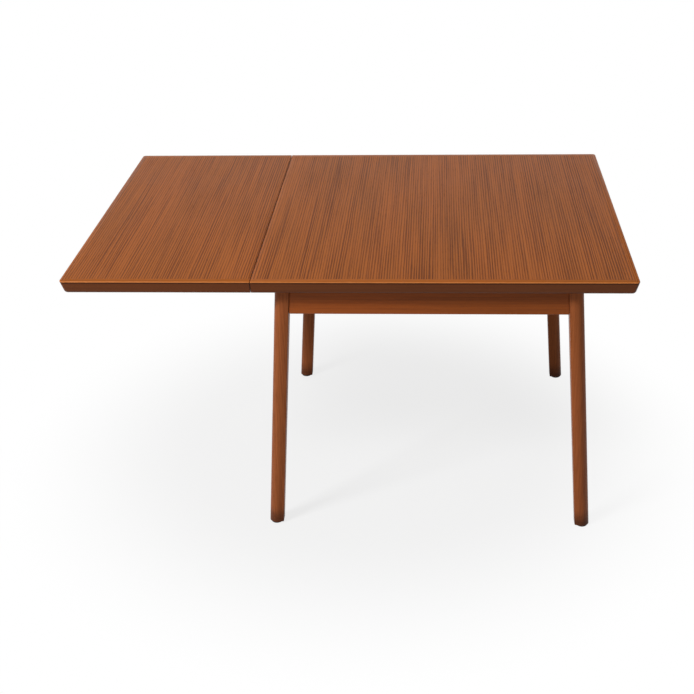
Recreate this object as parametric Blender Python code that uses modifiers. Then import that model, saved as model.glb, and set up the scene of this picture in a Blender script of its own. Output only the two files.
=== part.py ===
"""Butterfly extending dining table.

A fixed table with two legs on the right, a drop leaf hinged along the left edge of its top, and a leg
frame on the left that slides out under the raised leaf on wooden rails. Metres, +Z up, the floor at
Z = 0 and the origin under the middle of the raised top. The model stands with the leaf raised and the
leg frame pushed in, the position from which each of them moves by itself.
"""

import math

import bmesh
import bpy
from mathutils import Matrix, Vector

# Table top
MAIN_LENGTH = 0.900
LEAF_LENGTH = 0.450
SEAM_GAP = 0.002
TABLE_DEPTH = 0.900
TABLE_HEIGHT = 0.720
TOP_THICKNESS = 0.034
LIPPING_WIDTH = 0.016
EDGE_SLOPE = 0.008
EDGE_RADIUS = 0.007
EDGE_ARC_STEPS = 5

# Clearances, and what counts as one point or a sharp edge
JOINT_GAP = 0.0003
SLIDE_CLEARANCE = 0.0005
WELD_DISTANCE = 0.00001
SHARP_ANGLE_DEG = 35
EMPTY_SIZE = 0.05

# Legs, tapered D sections with the flat side towards the middle of the table
LEG_TOP_WIDTH = 0.036
LEG_TOP_DEPTH = 0.046
LEG_FOOT_WIDTH = 0.037
LEG_FOOT_DEPTH = 0.036
LEG_TOP_FLAT_OFFSET = 0.011
LEG_FOOT_FLAT_OFFSET = 0.015
LEG_SPLAY_DEG = 4.3
LEG_SIDES = 32
LEG_INSET = 0.060
RIGHT_FOOT_INSET = 0.088
LEFT_FOOT_INSET = 0.017
LEG_TRAVEL = 0.380

# Fixed frame
APRON_HEIGHT = 0.070
APRON_THICKNESS = 0.020
APRON_INSET = 0.042
CROSS_RAIL_THICKNESS = 0.020
CROSS_RAIL_CLEARANCE = 0.006
CORNER_BLOCK_LEG = 0.055
CORNER_BLOCK_HEIGHT = 0.044
LEG_BOLT_RADIUS = 0.004
LEG_BOLT_BITE = 0.022
BOLT_HEAD_RADIUS = 0.0075
BOLT_HEAD_HEIGHT = 0.005
CLEAT_FLANGE = 0.024
CLEAT_WIDTH = 0.030
CLEAT_THICKNESS = 0.002
CLEAT_SPREAD = 0.400

# Sliding leg frame
RAIL_END_CLEARANCE = 0.025
RAIL_THICKNESS = 0.021
RAIL_HEIGHT = 0.027
RAIL_LIFT = 0.005
RAIL_HEAD_LENGTH = 0.024
RAIL_COVE_RADIUS = 0.020
RAIL_COVE_STEPS = 6
RAIL_TENON_LENGTH = 0.014
RAIL_TENON_THICKNESS = 0.009
RAIL_TENON_HEIGHT = 0.034
RUNNER_HEIGHT = 0.008
RUNNER_DEPTH = 0.007
GUIDE_THICKNESS = 0.014
GUIDE_LIFT = 0.003
GROOVE_SETBACK = 0.054
STOP_LENGTH = 0.030
STOP_HEIGHT = 0.028
END_RAIL_THICKNESS = 0.020
END_RAIL_DROP = 0.013
GUSSET_LEG = 0.045
GUSSET_HEIGHT = 0.022

# Butt hinges under the seam
HINGE_SPACING = 0.240
HINGE_WIDTH = 0.060
HINGE_PLATE_LENGTH = 0.036
HINGE_PLATE_THICKNESS = 0.0016
HINGE_RELIEF = 0.001
KNUCKLE_RADIUS = 0.0036
KNUCKLE_GAP = 0.0004
KNUCKLE_SIDES = 20
PIN_RADIUS = 0.0016
PIN_OVERHANG = 0.0012

# Leaf bumpers, and the levelling glides under the feet
BUMPER_RADIUS = 0.006
BUMPER_HEIGHT = 0.005
BUMPER_WALL = 0.0025
BUMPER_CROWN_RADIUS = 0.0042
BUMPER_CROWN_RISE = 0.0005
BUMPER_INSET = 0.025
GLIDE_RADIUS = 0.015
GLIDE_HEIGHT = 0.004
GLIDE_EDGE = 0.001
GLIDE_TRAVEL = 0.008
STUD_RADIUS = 0.004
STUD_ENGAGEMENT = 0.017
INSERT_WALL = 0.002
INSERT_LENGTH = 0.018
ROUND_SIDES = 24

# Levels
UNDERSIDE = TABLE_HEIGHT - TOP_THICKNESS
FIXED_TOP = UNDERSIDE - JOINT_GAP
SLIDING_TOP = UNDERSIDE - SLIDE_CLEARANCE
APRON_BOTTOM = UNDERSIDE - APRON_HEIGHT
LEG_BOTTOM = GLIDE_HEIGHT + JOINT_GAP
STUD_LENGTH = STUD_ENGAGEMENT + GLIDE_TRAVEL
RAIL_BOTTOM = APRON_BOTTOM + RAIL_LIFT
RAIL_TOP = RAIL_BOTTOM + RAIL_HEIGHT
RAIL_MIDDLE = (RAIL_BOTTOM + RAIL_TOP) / 2
HINGE_AXIS_DROP = KNUCKLE_RADIUS + 2 * JOINT_GAP
HINGE_AXIS_Z = UNDERSIDE - HINGE_AXIS_DROP

# Places along the table
RIGHT_END = (MAIN_LENGTH + SEAM_GAP + LEAF_LENGTH) / 2
LEFT_END = -RIGHT_END
MAIN_LEFT = RIGHT_END - MAIN_LENGTH
LEAF_RIGHT = LEFT_END + LEAF_LENGTH
SEAM_X = (MAIN_LEFT + LEAF_RIGHT) / 2
RIGHT_FOOT_X = RIGHT_END - RIGHT_FOOT_INSET
LEFT_FOOT_X = SEAM_X + LEFT_FOOT_INSET

# Places across the table, measured from its middle
HALF_DEPTH = TABLE_DEPTH / 2
LEG_Y = HALF_DEPTH - LEG_INSET
APRON_OUTER = HALF_DEPTH - APRON_INSET
APRON_INNER = APRON_OUTER - APRON_THICKNESS
RAIL_OUTER = APRON_INNER - SLIDE_CLEARANCE
RAIL_INNER = RAIL_OUTER - RAIL_THICKNESS
GUIDE_OUTER = RAIL_INNER - SLIDE_CLEARANCE

SPLAY = math.tan(math.radians(LEG_SPLAY_DEG))
SIDES = {"front": -1, "rear": 1}


def leg_width(z):
    """Width of a leg along the table at height z."""
    return LEG_FOOT_WIDTH + (LEG_TOP_WIDTH - LEG_FOOT_WIDTH) * z / UNDERSIDE


def leg_depth(z):
    """Depth of a leg across the table at height z."""
    return LEG_FOOT_DEPTH + (LEG_TOP_DEPTH - LEG_FOOT_DEPTH) * z / UNDERSIDE


def leg_flat_offset(z):
    """Distance from the middle of a leg's round side to its flat inner face at height z."""
    return LEG_FOOT_FLAT_OFFSET + (LEG_TOP_FLAT_OFFSET - LEG_FOOT_FLAT_OFFSET) * z / UNDERSIDE


def left_leg_middle(z):
    """Middle of a left leg at height z: it leans in towards the top."""
    return LEFT_FOOT_X + SPLAY * z


def left_leg_flat(z):
    """Flat inner face of a left leg at height z."""
    return left_leg_middle(z) + leg_width(z) / 2


def right_leg_middle(z):
    """Middle of a right leg at height z."""
    return RIGHT_FOOT_X - SPLAY * z


def right_leg_flat(z):
    """Flat inner face of a right leg at height z."""
    return right_leg_middle(z) - leg_width(z) / 2


LEFT_FLAT_TOP = left_leg_flat(UNDERSIDE)
RIGHT_FLAT_TOP = right_leg_flat(UNDERSIDE)
LEG_INNER_Y = LEG_Y - leg_depth(UNDERSIDE) / 2
END_APRON_X = right_leg_middle((FIXED_TOP + APRON_BOTTOM) / 2)
END_RAIL_X = left_leg_middle((RAIL_BOTTOM + UNDERSIDE) / 2)
CROSS_RAIL_LEFT = LEFT_FLAT_TOP + RAIL_HEAD_LENGTH + RAIL_COVE_RADIUS + CROSS_RAIL_CLEARANCE
CROSS_RAIL_RIGHT = CROSS_RAIL_LEFT + CROSS_RAIL_THICKNESS
CROSS_RAIL_BOTTOM = RAIL_TOP + 2 * SLIDE_CLEARANCE
RAIL_END = RIGHT_FLAT_TOP - JOINT_GAP - CORNER_BLOCK_LEG - RAIL_END_CLEARANCE
STOP_LEFT = CROSS_RAIL_RIGHT + LEG_TRAVEL + SLIDE_CLEARANCE

# Finishes: base colour, roughness and metallic value
FINISHES = {
    "top_veneer": ((0.165, 0.062, 0.028), 0.42, 0.0),
    "lipping_wood": ((0.270, 0.105, 0.042), 0.42, 0.0),
    "frame_wood": ((0.175, 0.066, 0.030), 0.46, 0.0),
    "inner_wood": ((0.360, 0.230, 0.130), 0.60, 0.0),
    "steel": ((0.420, 0.410, 0.400), 0.35, 1.0),
    "brass": ((0.560, 0.400, 0.160), 0.35, 1.0),
    "nylon": ((0.020, 0.018, 0.017), 0.55, 0.0),
    "rubber": ((0.030, 0.028, 0.026), 0.70, 0.0),
}


def clear_scene():
    """Remove what the scene holds."""
    for item in list(bpy.data.objects):
        bpy.data.objects.remove(item, do_unlink=True)


def new_collection(name):
    """A collection in the scene."""
    found = bpy.data.collections.new(name)
    bpy.context.scene.collection.children.link(found)
    return found


def make_finish(name):
    """A Principled material with the finish of that name."""
    colour, roughness, metallic = FINISHES[name]
    material = bpy.data.materials.new(name)
    material.use_nodes = True
    shader = material.node_tree.nodes["Principled BSDF"]
    shader.inputs["Base Color"].default_value = (*colour, 1.0)
    shader.inputs["Roughness"].default_value = roughness
    shader.inputs["Metallic"].default_value = metallic
    return material


clear_scene()
PARTS = new_collection("butterfly_dining_table")
CUTTERS = new_collection("cutters")
MATERIALS = {name: make_finish(name) for name in FINISHES}


def add_empty(name, location):
    """An empty that carries the pieces of one moving body."""
    empty = bpy.data.objects.new(name, None)
    empty.empty_display_size = EMPTY_SIZE
    empty.location = location
    PARTS.objects.link(empty)
    bpy.context.view_layer.update()
    return empty


FIXED = add_empty("fixed_table", (0, 0, 0))
LEAF = add_empty("leaf_pivot", (SEAM_X, 0, HINGE_AXIS_Z))
LEG_FRAME = add_empty("leg_frame_slide", (LEFT_FLAT_TOP, 0, RAIL_MIDDLE))


def place(name, bm, location, finish, carrier):
    """Turn a bmesh into an object of the table, carried by an empty."""
    bmesh.ops.recalc_face_normals(bm, faces=bm.faces)
    mesh = bpy.data.meshes.new(name)
    bm.to_mesh(mesh)
    bm.free()
    piece = bpy.data.objects.new(name, mesh)
    piece.location = location
    if finish is None:
        CUTTERS.objects.link(piece)
        piece.hide_render = True
        piece.display_type = "WIRE"
    else:
        PARTS.objects.link(piece)
        mesh.materials.append(MATERIALS[finish])
        mesh.shade_smooth()
        mesh.set_sharp_from_angle(angle=math.radians(SHARP_ANGLE_DEG))
    if carrier is not None:
        piece.parent = carrier
        piece.matrix_parent_inverse = carrier.matrix_world.inverted()
    bpy.context.view_layer.update()
    return piece


def box(name, low, high, finish=None, carrier=None):
    """A box between two corners."""
    low, high = Vector(low), Vector(high)
    bm = bmesh.new()
    bmesh.ops.create_cube(bm, size=1.0)
    bmesh.ops.scale(bm, vec=high - low, verts=bm.verts)
    return place(name, bm, (low + high) / 2, finish, carrier)


def slanted_box(name, left, right, ys, zs, finish, carrier):
    """A board whose ends follow the legs: left and right give its ends at a height."""
    bm = bmesh.new()
    bmesh.ops.create_cube(bm, size=2.0)
    for vertex in bm.verts:
        z = zs[vertex.co.z > 0]
        end = right if vertex.co.x > 0 else left
        vertex.co = (end(z), ys[vertex.co.y > 0], z)
    return place(name, bm, (0, 0, 0), finish, carrier)


def rod(name, start, end, radius, finish=None, carrier=None, sides=ROUND_SIDES):
    """A straight round bar between two points."""
    start, end = Vector(start), Vector(end)
    bm = bmesh.new()
    bmesh.ops.create_cone(
        bm, cap_ends=True, segments=sides, radius1=radius, radius2=radius, depth=(end - start).length
    )
    turn = (end - start).to_track_quat("Z", "Y").to_matrix()
    bmesh.ops.rotate(bm, matrix=turn, verts=bm.verts)
    return place(name, bm, (start + end) / 2, finish, carrier)


def outline(name, points, low, high, plane, finish, carrier):
    """A flat outline in the XY or XZ plane, as thick as the span from low to high."""
    curve = bpy.data.curves.new(name + "_outline", "CURVE")
    curve.dimensions = "2D"
    curve.fill_mode = "BOTH"
    curve.extrude = (high - low) / 2
    spline = curve.splines.new("POLY")
    spline.points.add(len(points) - 1)
    for point, (u, v) in zip(spline.points, points):
        point.co = (u, v, 0, 1)
    spline.use_cyclic_u = True
    guide = bpy.data.objects.new(name + "_outline", curve)
    CUTTERS.objects.link(guide)
    bpy.context.view_layer.update()
    drawn = guide.evaluated_get(bpy.context.evaluated_depsgraph_get())
    mesh = bpy.data.meshes.new_from_object(drawn)
    bm = bmesh.new()
    bm.from_mesh(mesh)
    bmesh.ops.remove_doubles(bm, verts=bm.verts, dist=WELD_DISTANCE)
    bpy.data.objects.remove(guide)
    bpy.data.meshes.remove(mesh)
    middle = (low + high) / 2
    if plane == "XZ":
        bmesh.ops.rotate(bm, matrix=Matrix.Rotation(math.pi / 2, 3, "X"), verts=bm.verts)
        return place(name, bm, (0, middle, 0), finish, carrier)
    return place(name, bm, (0, 0, middle), finish, carrier)


def turned(name, profile, location, finish, carrier):
    """A turned piece: profile gives (radius, height) down its outer side, from axis to axis."""
    bm = bmesh.new()
    points = [bm.verts.new((radius, 0, height)) for radius, height in profile]
    for first, second in zip(points, points[1:]):
        bm.edges.new((first, second))
    piece = place(name, bm, location, finish, carrier)
    screw = piece.modifiers.new("turn", "SCREW")
    screw.steps = screw.render_steps = ROUND_SIDES
    screw.use_merge_vertices = True
    screw.merge_threshold = WELD_DISTANCE
    return piece


def cut(piece, cutter):
    """Cut one piece by another shape."""
    change = piece.modifiers.new("cut_" + cutter.name, "BOOLEAN")
    change.object = cutter
    change.operation = "DIFFERENCE"


def join(piece, addition):
    """Join a hidden shape to a piece as one body."""
    change = piece.modifiers.new("join_" + addition.name, "BOOLEAN")
    change.object = addition
    change.operation = "UNION"


def mirrored(side, points):
    """An outline seen from above, turned over for the rear half of the table."""
    return [(x, side * -y) for x, y in points]


def span(side, outer, inner):
    """The low and high Y of a piece between two distances from the table's middle."""
    return sorted((side * outer, side * inner))


# Table top: veneered panels with solid lippings


def edge_profile():
    """The lipping's section as (distance in from the edge, height): sloped under, with a round foot."""
    foot = EDGE_SLOPE + EDGE_RADIUS
    points = [(0.0, TOP_THICKNESS)]
    for step in range(EDGE_ARC_STEPS + 1):
        turn = math.pi / 2 * step / EDGE_ARC_STEPS
        points.append((foot - EDGE_RADIUS * math.cos(turn), EDGE_RADIUS * (1 - math.sin(turn))))
    return points + [(LIPPING_WIDTH, 0.0), (LIPPING_WIDTH, TOP_THICKNESS)]


def lipping(name, start, end, inward, mitres, carrier):
    """A lipping along one edge, from start to end, mitred at the ends where two lippings meet."""
    start, end, inward = Vector(start), Vector(end), Vector(inward)
    along = (end - start).normalized()
    bm = bmesh.new()
    profile = edge_profile()
    near = [bm.verts.new(start + inward * d + Vector((0, 0, z))) for d, z in profile]
    face = bm.faces.new(near)
    grown = bmesh.ops.extrude_face_region(bm, geom=[face])["geom"]
    far = [v for v in grown if isinstance(v, bmesh.types.BMVert)]
    bmesh.ops.translate(bm, vec=end - start, verts=far)
    for ends, mitre, way in ((near, mitres[0], 1), (far, mitres[1], -1)):
        for vertex in ends:
            depth = (vertex.co - start).dot(inward)
            vertex.co += along * way * (depth * mitre + JOINT_GAP)
    return place(name, bm, (0, 0, UNDERSIDE), "lipping_wood", carrier)


def table_top(prefix, left, right, open_end, carrier):
    """One half of the top: its panel, three lippings outside and a square one at the seam."""
    inset = LIPPING_WIDTH + JOINT_GAP
    panel_half = HALF_DEPTH - inset
    box(
        prefix + "_panel",
        (left + inset, -panel_half, UNDERSIDE),
        (right - inset, panel_half, TABLE_HEIGHT),
        "top_veneer",
        carrier,
    )
    mitres = (1, 0) if open_end < 0 else (0, 1)
    for side_name, side in SIDES.items():
        y = side * HALF_DEPTH
        lipping(
            f"{prefix}_{side_name}_lipping", (left, y, 0), (right, y, 0), (0, -side, 0), mitres, carrier
        )
    outer, seam = (left, right) if open_end < 0 else (right, left)
    lipping(
        prefix + "_end_lipping",
        (outer, -HALF_DEPTH, 0),
        (outer, HALF_DEPTH, 0),
        (-open_end, 0, 0),
        (1, 1),
        carrier,
    )
    seam_low, seam_high = sorted((seam, seam + open_end * LIPPING_WIDTH))
    box(
        prefix + "_seam_lipping",
        (seam_low, -panel_half, UNDERSIDE),
        (seam_high, panel_half, TABLE_HEIGHT),
        "lipping_wood",
        carrier,
    )


# Legs and their levelling glides


def leg(name, foot_x, side, inward, top, carrier):
    """A splayed, tapered leg with a D section, bored for its glide."""
    bm = bmesh.new()
    bmesh.ops.create_cone(bm, cap_ends=True, segments=LEG_SIDES, radius1=1, radius2=1, depth=2)
    for vertex in bm.verts:
        z = top if vertex.co.z > 0 else LEG_BOTTOM
        flat = leg_flat_offset(z)
        x = min(vertex.co.x * (leg_width(z) - flat), flat) + leg_width(z) / 2 - flat
        vertex.co = (inward * (x + SPLAY * z), vertex.co.y * leg_depth(z) / 2, z)
    piece = place(name, bm, (foot_x, side * LEG_Y, 0), "frame_wood", carrier)
    hole_radius = STUD_RADIUS + INSERT_WALL + 2 * JOINT_GAP
    hole_top = LEG_BOTTOM + STUD_LENGTH + JOINT_GAP
    foot = Vector((foot_x, side * LEG_Y, 0))
    bore = rod(name + "_bore", foot, foot + Vector((0, 0, hole_top)), hole_radius)
    cut(piece, bore)
    return piece


def levelling_glide(prefix, foot_x, side, carrier):
    """A brass insert in the foot, and the glide whose stud screws up into it."""
    y = side * LEG_Y
    base = LEG_BOTTOM + JOINT_GAP
    outer = STUD_RADIUS + INSERT_WALL + JOINT_GAP
    inner = STUD_RADIUS + JOINT_GAP
    sleeve = rod(
        prefix + "_insert", (foot_x, y, base), (foot_x, y, base + INSERT_LENGTH), outer, "brass", carrier
    )
    bore = rod(
        prefix + "_insert_bore", (foot_x, y, 0), (foot_x, y, base + 2 * INSERT_LENGTH), inner
    )
    cut(sleeve, bore)
    profile = [
        (0.0, GLIDE_HEIGHT + STUD_LENGTH),
        (STUD_RADIUS, GLIDE_HEIGHT + STUD_LENGTH),
        (STUD_RADIUS, GLIDE_HEIGHT),
        (GLIDE_RADIUS, GLIDE_HEIGHT),
        (GLIDE_RADIUS, GLIDE_EDGE),
        (GLIDE_RADIUS - GLIDE_EDGE, 0.0),
        (0.0, 0.0),
    ]
    turned(prefix + "_glide", profile, (foot_x, y, 0), "nylon", carrier)


# Fixed frame under the main top


def fixed_frame():
    """Aprons, the cross rail over the sliding rails, and the guides that the rails run on."""
    for name, side in SIDES.items():
        slanted_box(
            name + "_apron",
            lambda z: left_leg_flat(z) + SLIDE_CLEARANCE,
            lambda z: right_leg_flat(z) - JOINT_GAP,
            span(side, APRON_OUTER, APRON_INNER),
            (APRON_BOTTOM, FIXED_TOP),
            "frame_wood",
            FIXED,
        )
        guide_ys = span(side, GUIDE_OUTER, GUIDE_OUTER - GUIDE_THICKNESS)
        box(
            name + "_guide_board",
            (CROSS_RAIL_RIGHT + JOINT_GAP, guide_ys[0], RAIL_BOTTOM + GUIDE_LIFT),
            (RAIL_END, guide_ys[1], FIXED_TOP),
            "inner_wood",
            FIXED,
        )
        runner_ys = span(side, GUIDE_OUTER + JOINT_GAP + RUNNER_DEPTH, GUIDE_OUTER + JOINT_GAP)
        box(
            name + "_runner",
            (CROSS_RAIL_RIGHT + JOINT_GAP, runner_ys[0], RAIL_MIDDLE - RUNNER_HEIGHT / 2),
            (RAIL_END, runner_ys[1], RAIL_MIDDLE + RUNNER_HEIGHT / 2),
            "inner_wood",
            FIXED,
        )
    cross_half = APRON_INNER - JOINT_GAP
    box(
        "fixed_cross_rail",
        (CROSS_RAIL_LEFT, -cross_half, CROSS_RAIL_BOTTOM),
        (CROSS_RAIL_RIGHT, cross_half, FIXED_TOP),
        "inner_wood",
        FIXED,
    )
    end_half = LEG_INNER_Y - JOINT_GAP
    box(
        "right_apron",
        (END_APRON_X - APRON_THICKNESS / 2, -end_half, APRON_BOTTOM),
        (END_APRON_X + APRON_THICKNESS / 2, end_half, FIXED_TOP),
        "frame_wood",
        FIXED,
    )


def bolted_corner(name, side):
    """A block in the right-hand corner, and the bolt that draws the leg against it."""
    leg_x = RIGHT_FLAT_TOP - JOINT_GAP
    leg_y = LEG_INNER_Y - JOINT_GAP
    apron_x = END_APRON_X - APRON_THICKNESS / 2 - JOINT_GAP
    apron_y = APRON_INNER - JOINT_GAP
    points = [
        (leg_x - CORNER_BLOCK_LEG, apron_y),
        (leg_x, apron_y),
        (leg_x, leg_y),
        (apron_x, leg_y),
        (apron_x, leg_x - CORNER_BLOCK_LEG + apron_y - apron_x),
    ]
    block_low = FIXED_TOP - JOINT_GAP - CORNER_BLOCK_HEIGHT
    block_high = FIXED_TOP - JOINT_GAP
    block = outline(
        f"{name}_right_corner_block",
        mirrored(-side, points),
        block_low,
        block_high,
        "XY",
        "inner_wood",
        FIXED,
    )
    height = (block_low + block_high) / 2
    corner = Vector((leg_x, side * leg_y, height))
    outward = Vector((1, side, 0)).normalized()
    reach = (CORNER_BLOCK_LEG + leg_y - apron_y) / math.sqrt(2)
    face = corner - outward * (reach + JOINT_GAP)
    tip = corner + outward * LEG_BOLT_BITE
    bolt = rod(
        f"{name}_right_leg_bolt",
        face - outward * BOLT_HEAD_HEIGHT,
        face,
        BOLT_HEAD_RADIUS,
        "steel",
        FIXED,
        sides=6,
    )
    shank = rod(f"{name}_bolt_shank", face - outward * BOLT_HEAD_HEIGHT / 2, tip, LEG_BOLT_RADIUS)
    join(bolt, shank)
    hole = rod(
        f"{name}_bolt_hole",
        face - outward * BOLT_HEAD_RADIUS,
        tip + outward * JOINT_GAP,
        LEG_BOLT_RADIUS + JOINT_GAP,
    )
    cut(block, hole)
    return hole


def top_cleat(name, x, facing, y):
    """A steel angle that holds the main panel to a rail, whose face is at x."""
    low = UNDERSIDE - JOINT_GAP
    start = x + facing * JOINT_GAP
    points = [
        (start, low),
        (start, low - CLEAT_FLANGE),
        (start + facing * CLEAT_THICKNESS, low - CLEAT_FLANGE),
        (start + facing * CLEAT_THICKNESS, low - CLEAT_THICKNESS),
        (start + facing * CLEAT_FLANGE, low - CLEAT_THICKNESS),
        (start + facing * CLEAT_FLANGE, low),
    ]
    outline(name, points, y - CLEAT_WIDTH / 2, y + CLEAT_WIDTH / 2, "XZ", "steel", FIXED)


# Sliding leg frame


def slide_rail_outline():
    """Side view of a sliding rail: a head that carries the leaf, a cove, and the low running length."""
    head = LEFT_FLAT_TOP + RAIL_HEAD_LENGTH
    foot = left_leg_flat(RAIL_BOTTOM) + JOINT_GAP
    points = [(foot, RAIL_BOTTOM), (RAIL_END, RAIL_BOTTOM), (RAIL_END, RAIL_TOP)]
    for step in range(RAIL_COVE_STEPS + 1):
        turn = math.pi / 2 * step / RAIL_COVE_STEPS
        points.append(
            (
                head + RAIL_COVE_RADIUS * (1 - math.sin(turn)),
                RAIL_TOP + RAIL_COVE_RADIUS * (1 - math.cos(turn)),
            )
        )
    return points + [(head, SLIDING_TOP), (left_leg_flat(SLIDING_TOP) + JOINT_GAP, SLIDING_TOP)]


def slide_rail(name, side, leg_piece):
    """A sliding rail, tenoned into its leg and grooved inside for the runner on its guide board."""
    low, high = span(side, RAIL_OUTER, RAIL_INNER)
    rail = outline(
        name + "_slide_rail", slide_rail_outline(), low, high, "XZ", "frame_wood", LEG_FRAME
    )
    groove_ys = span(side, GUIDE_OUTER + JOINT_GAP + RUNNER_DEPTH + SLIDE_CLEARANCE, GUIDE_OUTER)
    groove_half = RUNNER_HEIGHT / 2 + SLIDE_CLEARANCE
    groove = box(
        name + "_groove",
        (LEFT_FLAT_TOP + GROOVE_SETBACK, groove_ys[0], RAIL_MIDDLE - groove_half),
        (RAIL_END + STOP_LENGTH, groove_ys[1], RAIL_MIDDLE + groove_half),
    )
    cut(rail, groove)
    middle_y = (low + high) / 2
    middle_z = (RAIL_BOTTOM + SLIDING_TOP) / 2
    flat = left_leg_flat(middle_z)
    half = Vector((0, RAIL_TENON_THICKNESS / 2, RAIL_TENON_HEIGHT / 2))
    tip = Vector((flat - RAIL_TENON_LENGTH, middle_y, middle_z))
    root = Vector((flat + RAIL_HEAD_LENGTH / 2, middle_y, middle_z))
    tenon = box(name + "_tenon", tip - half, root + half)
    join(rail, tenon)
    room = Vector((JOINT_GAP, JOINT_GAP, JOINT_GAP))
    cut(leg_piece, box(name + "_mortise", tip - half - room, root + half + room))
    box(
        name + "_stop_block",
        (STOP_LEFT, low, RAIL_TOP + JOINT_GAP),
        (STOP_LEFT + STOP_LENGTH, high, RAIL_TOP + JOINT_GAP + STOP_HEIGHT),
        "inner_wood",
        LEG_FRAME,
    )


def leg_frame_ties():
    """The rail between the left legs, and the gussets in its corners."""
    half = LEG_INNER_Y - JOINT_GAP
    end_face = END_RAIL_X + END_RAIL_THICKNESS / 2
    box(
        "left_end_rail",
        (END_RAIL_X - END_RAIL_THICKNESS / 2, -half, RAIL_BOTTOM),
        (end_face, half, UNDERSIDE - END_RAIL_DROP),
        "frame_wood",
        LEG_FRAME,
    )
    corner_x, corner_y = end_face + JOINT_GAP, RAIL_INNER - JOINT_GAP
    points = [
        (corner_x, corner_y),
        (corner_x, corner_y - GUSSET_LEG),
        (corner_x + GUSSET_LEG, corner_y),
    ]
    for name, side in SIDES.items():
        outline(
            name + "_left_gusset",
            mirrored(-side, points),
            RAIL_BOTTOM + JOINT_GAP,
            RAIL_BOTTOM + JOINT_GAP + GUSSET_HEIGHT,
            "XY",
            "inner_wood",
            LEG_FRAME,
        )


# Hinges and bumpers


def hinge_half(name, y, way, knuckles, carrier):
    """One plate of a butt hinge with its own knuckles; way is the side of the seam that it lies on."""
    top = UNDERSIDE - JOINT_GAP
    clear = KNUCKLE_RADIUS + HINGE_RELIEF
    reach = SEAM_X + way * HINGE_PLATE_LENGTH
    low_x, high_x = sorted((SEAM_X + way * clear, reach))
    half = HINGE_WIDTH / 2
    plate = box(
        name,
        (low_x, y - half, top - HINGE_PLATE_THICKNESS),
        (high_x, y + half, top),
        "steel",
        carrier,
    )
    for number, (start, end) in enumerate(knuckles):
        barrel = rod(
            f"{name}_knuckle_{number}",
            (SEAM_X, y + start, HINGE_AXIS_Z),
            (SEAM_X, y + end, HINGE_AXIS_Z),
            KNUCKLE_RADIUS,
            sides=KNUCKLE_SIDES,
        )
        tab_low, tab_high = sorted((SEAM_X, SEAM_X + way * (clear + HINGE_RELIEF)))
        tab = box(
            f"{name}_tab_{number}",
            (tab_low, y + start, top - HINGE_PLATE_THICKNESS),
            (tab_high, y + end, top - JOINT_GAP),
        )
        join(plate, tab)
        join(plate, barrel)
    bore = rod(
        name + "_bore",
        (SEAM_X, y - HINGE_WIDTH, HINGE_AXIS_Z),
        (SEAM_X, y + HINGE_WIDTH, HINGE_AXIS_Z),
        PIN_RADIUS + JOINT_GAP,
    )
    cut(plate, bore)


def hinge(name, y):
    """A butt hinge: two knuckles on the main top, one on the leaf, and a pin through all three."""
    half = HINGE_WIDTH / 2
    third = HINGE_WIDTH / 6
    outer = [(-half, -third - KNUCKLE_GAP / 2), (third + KNUCKLE_GAP / 2, half)]
    inner = [(-third + KNUCKLE_GAP / 2, third - KNUCKLE_GAP / 2)]
    hinge_half(name + "_main_plate", y, 1, outer, FIXED)
    hinge_half(name + "_leaf_plate", y, -1, inner, LEAF)
    reach = half + PIN_OVERHANG
    rod(
        name + "_pin",
        (SEAM_X, y - reach, HINGE_AXIS_Z),
        (SEAM_X, y + reach, HINGE_AXIS_Z),
        PIN_RADIUS,
        "steel",
        FIXED,
    )


def bumper(name, side):
    """A rubber dome under the leaf's free end, where the folded leaf leans on the leg."""
    top = UNDERSIDE - JOINT_GAP
    profile = [
        (0.0, 0.0),
        (BUMPER_RADIUS, 0.0),
        (BUMPER_RADIUS, -BUMPER_WALL),
        (BUMPER_CROWN_RADIUS, BUMPER_CROWN_RISE - BUMPER_HEIGHT),
        (0.0, -BUMPER_HEIGHT),
    ]
    turned(name, profile, (LEFT_END + BUMPER_INSET, side * LEG_Y, top), "rubber", LEAF)


def main():
    """Build the table."""
    table_top("main", MAIN_LEFT, RIGHT_END, 1, FIXED)
    table_top("leaf", LEFT_END, LEAF_RIGHT, -1, LEAF)
    fixed_frame()
    for name, side in SIDES.items():
        right_leg = leg(name + "_right_leg", RIGHT_FOOT_X, side, -1, FIXED_TOP, FIXED)
        cut(right_leg, bolted_corner(name, side))
        left_leg = leg(name + "_left_leg", LEFT_FOOT_X, side, 1, SLIDING_TOP, LEG_FRAME)
        slide_rail(name, side, left_leg)
        levelling_glide(name + "_right", RIGHT_FOOT_X, side, FIXED)
        levelling_glide(name + "_left", LEFT_FOOT_X, side, LEG_FRAME)
        bumper(name + "_leaf_bumper", side)
        y = side * CLEAT_SPREAD / 2
        top_cleat(name + "_cross_rail_cleat", CROSS_RAIL_RIGHT, 1, y)
        top_cleat(name + "_right_apron_cleat", END_APRON_X - APRON_THICKNESS / 2, -1, y)
    leg_frame_ties()
    for name, y in (("front", -HINGE_SPACING), ("middle", 0.0), ("rear", HINGE_SPACING)):
        hinge(name + "_hinge", y)


main()
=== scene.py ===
"""Looks of a butterfly extending dining table.

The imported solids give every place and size. Each class here models one sub-assembly over those solids,
with rounded edges, screws and stained wood, and lets it ride on the body that carries it.
"""

from __future__ import annotations

import logging
import math
from collections.abc import Callable, Iterator, Sequence
from contextlib import contextmanager
from dataclasses import dataclass, replace
from enum import Enum

import bmesh
import bpy
from mathutils import Matrix, Vector

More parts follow.
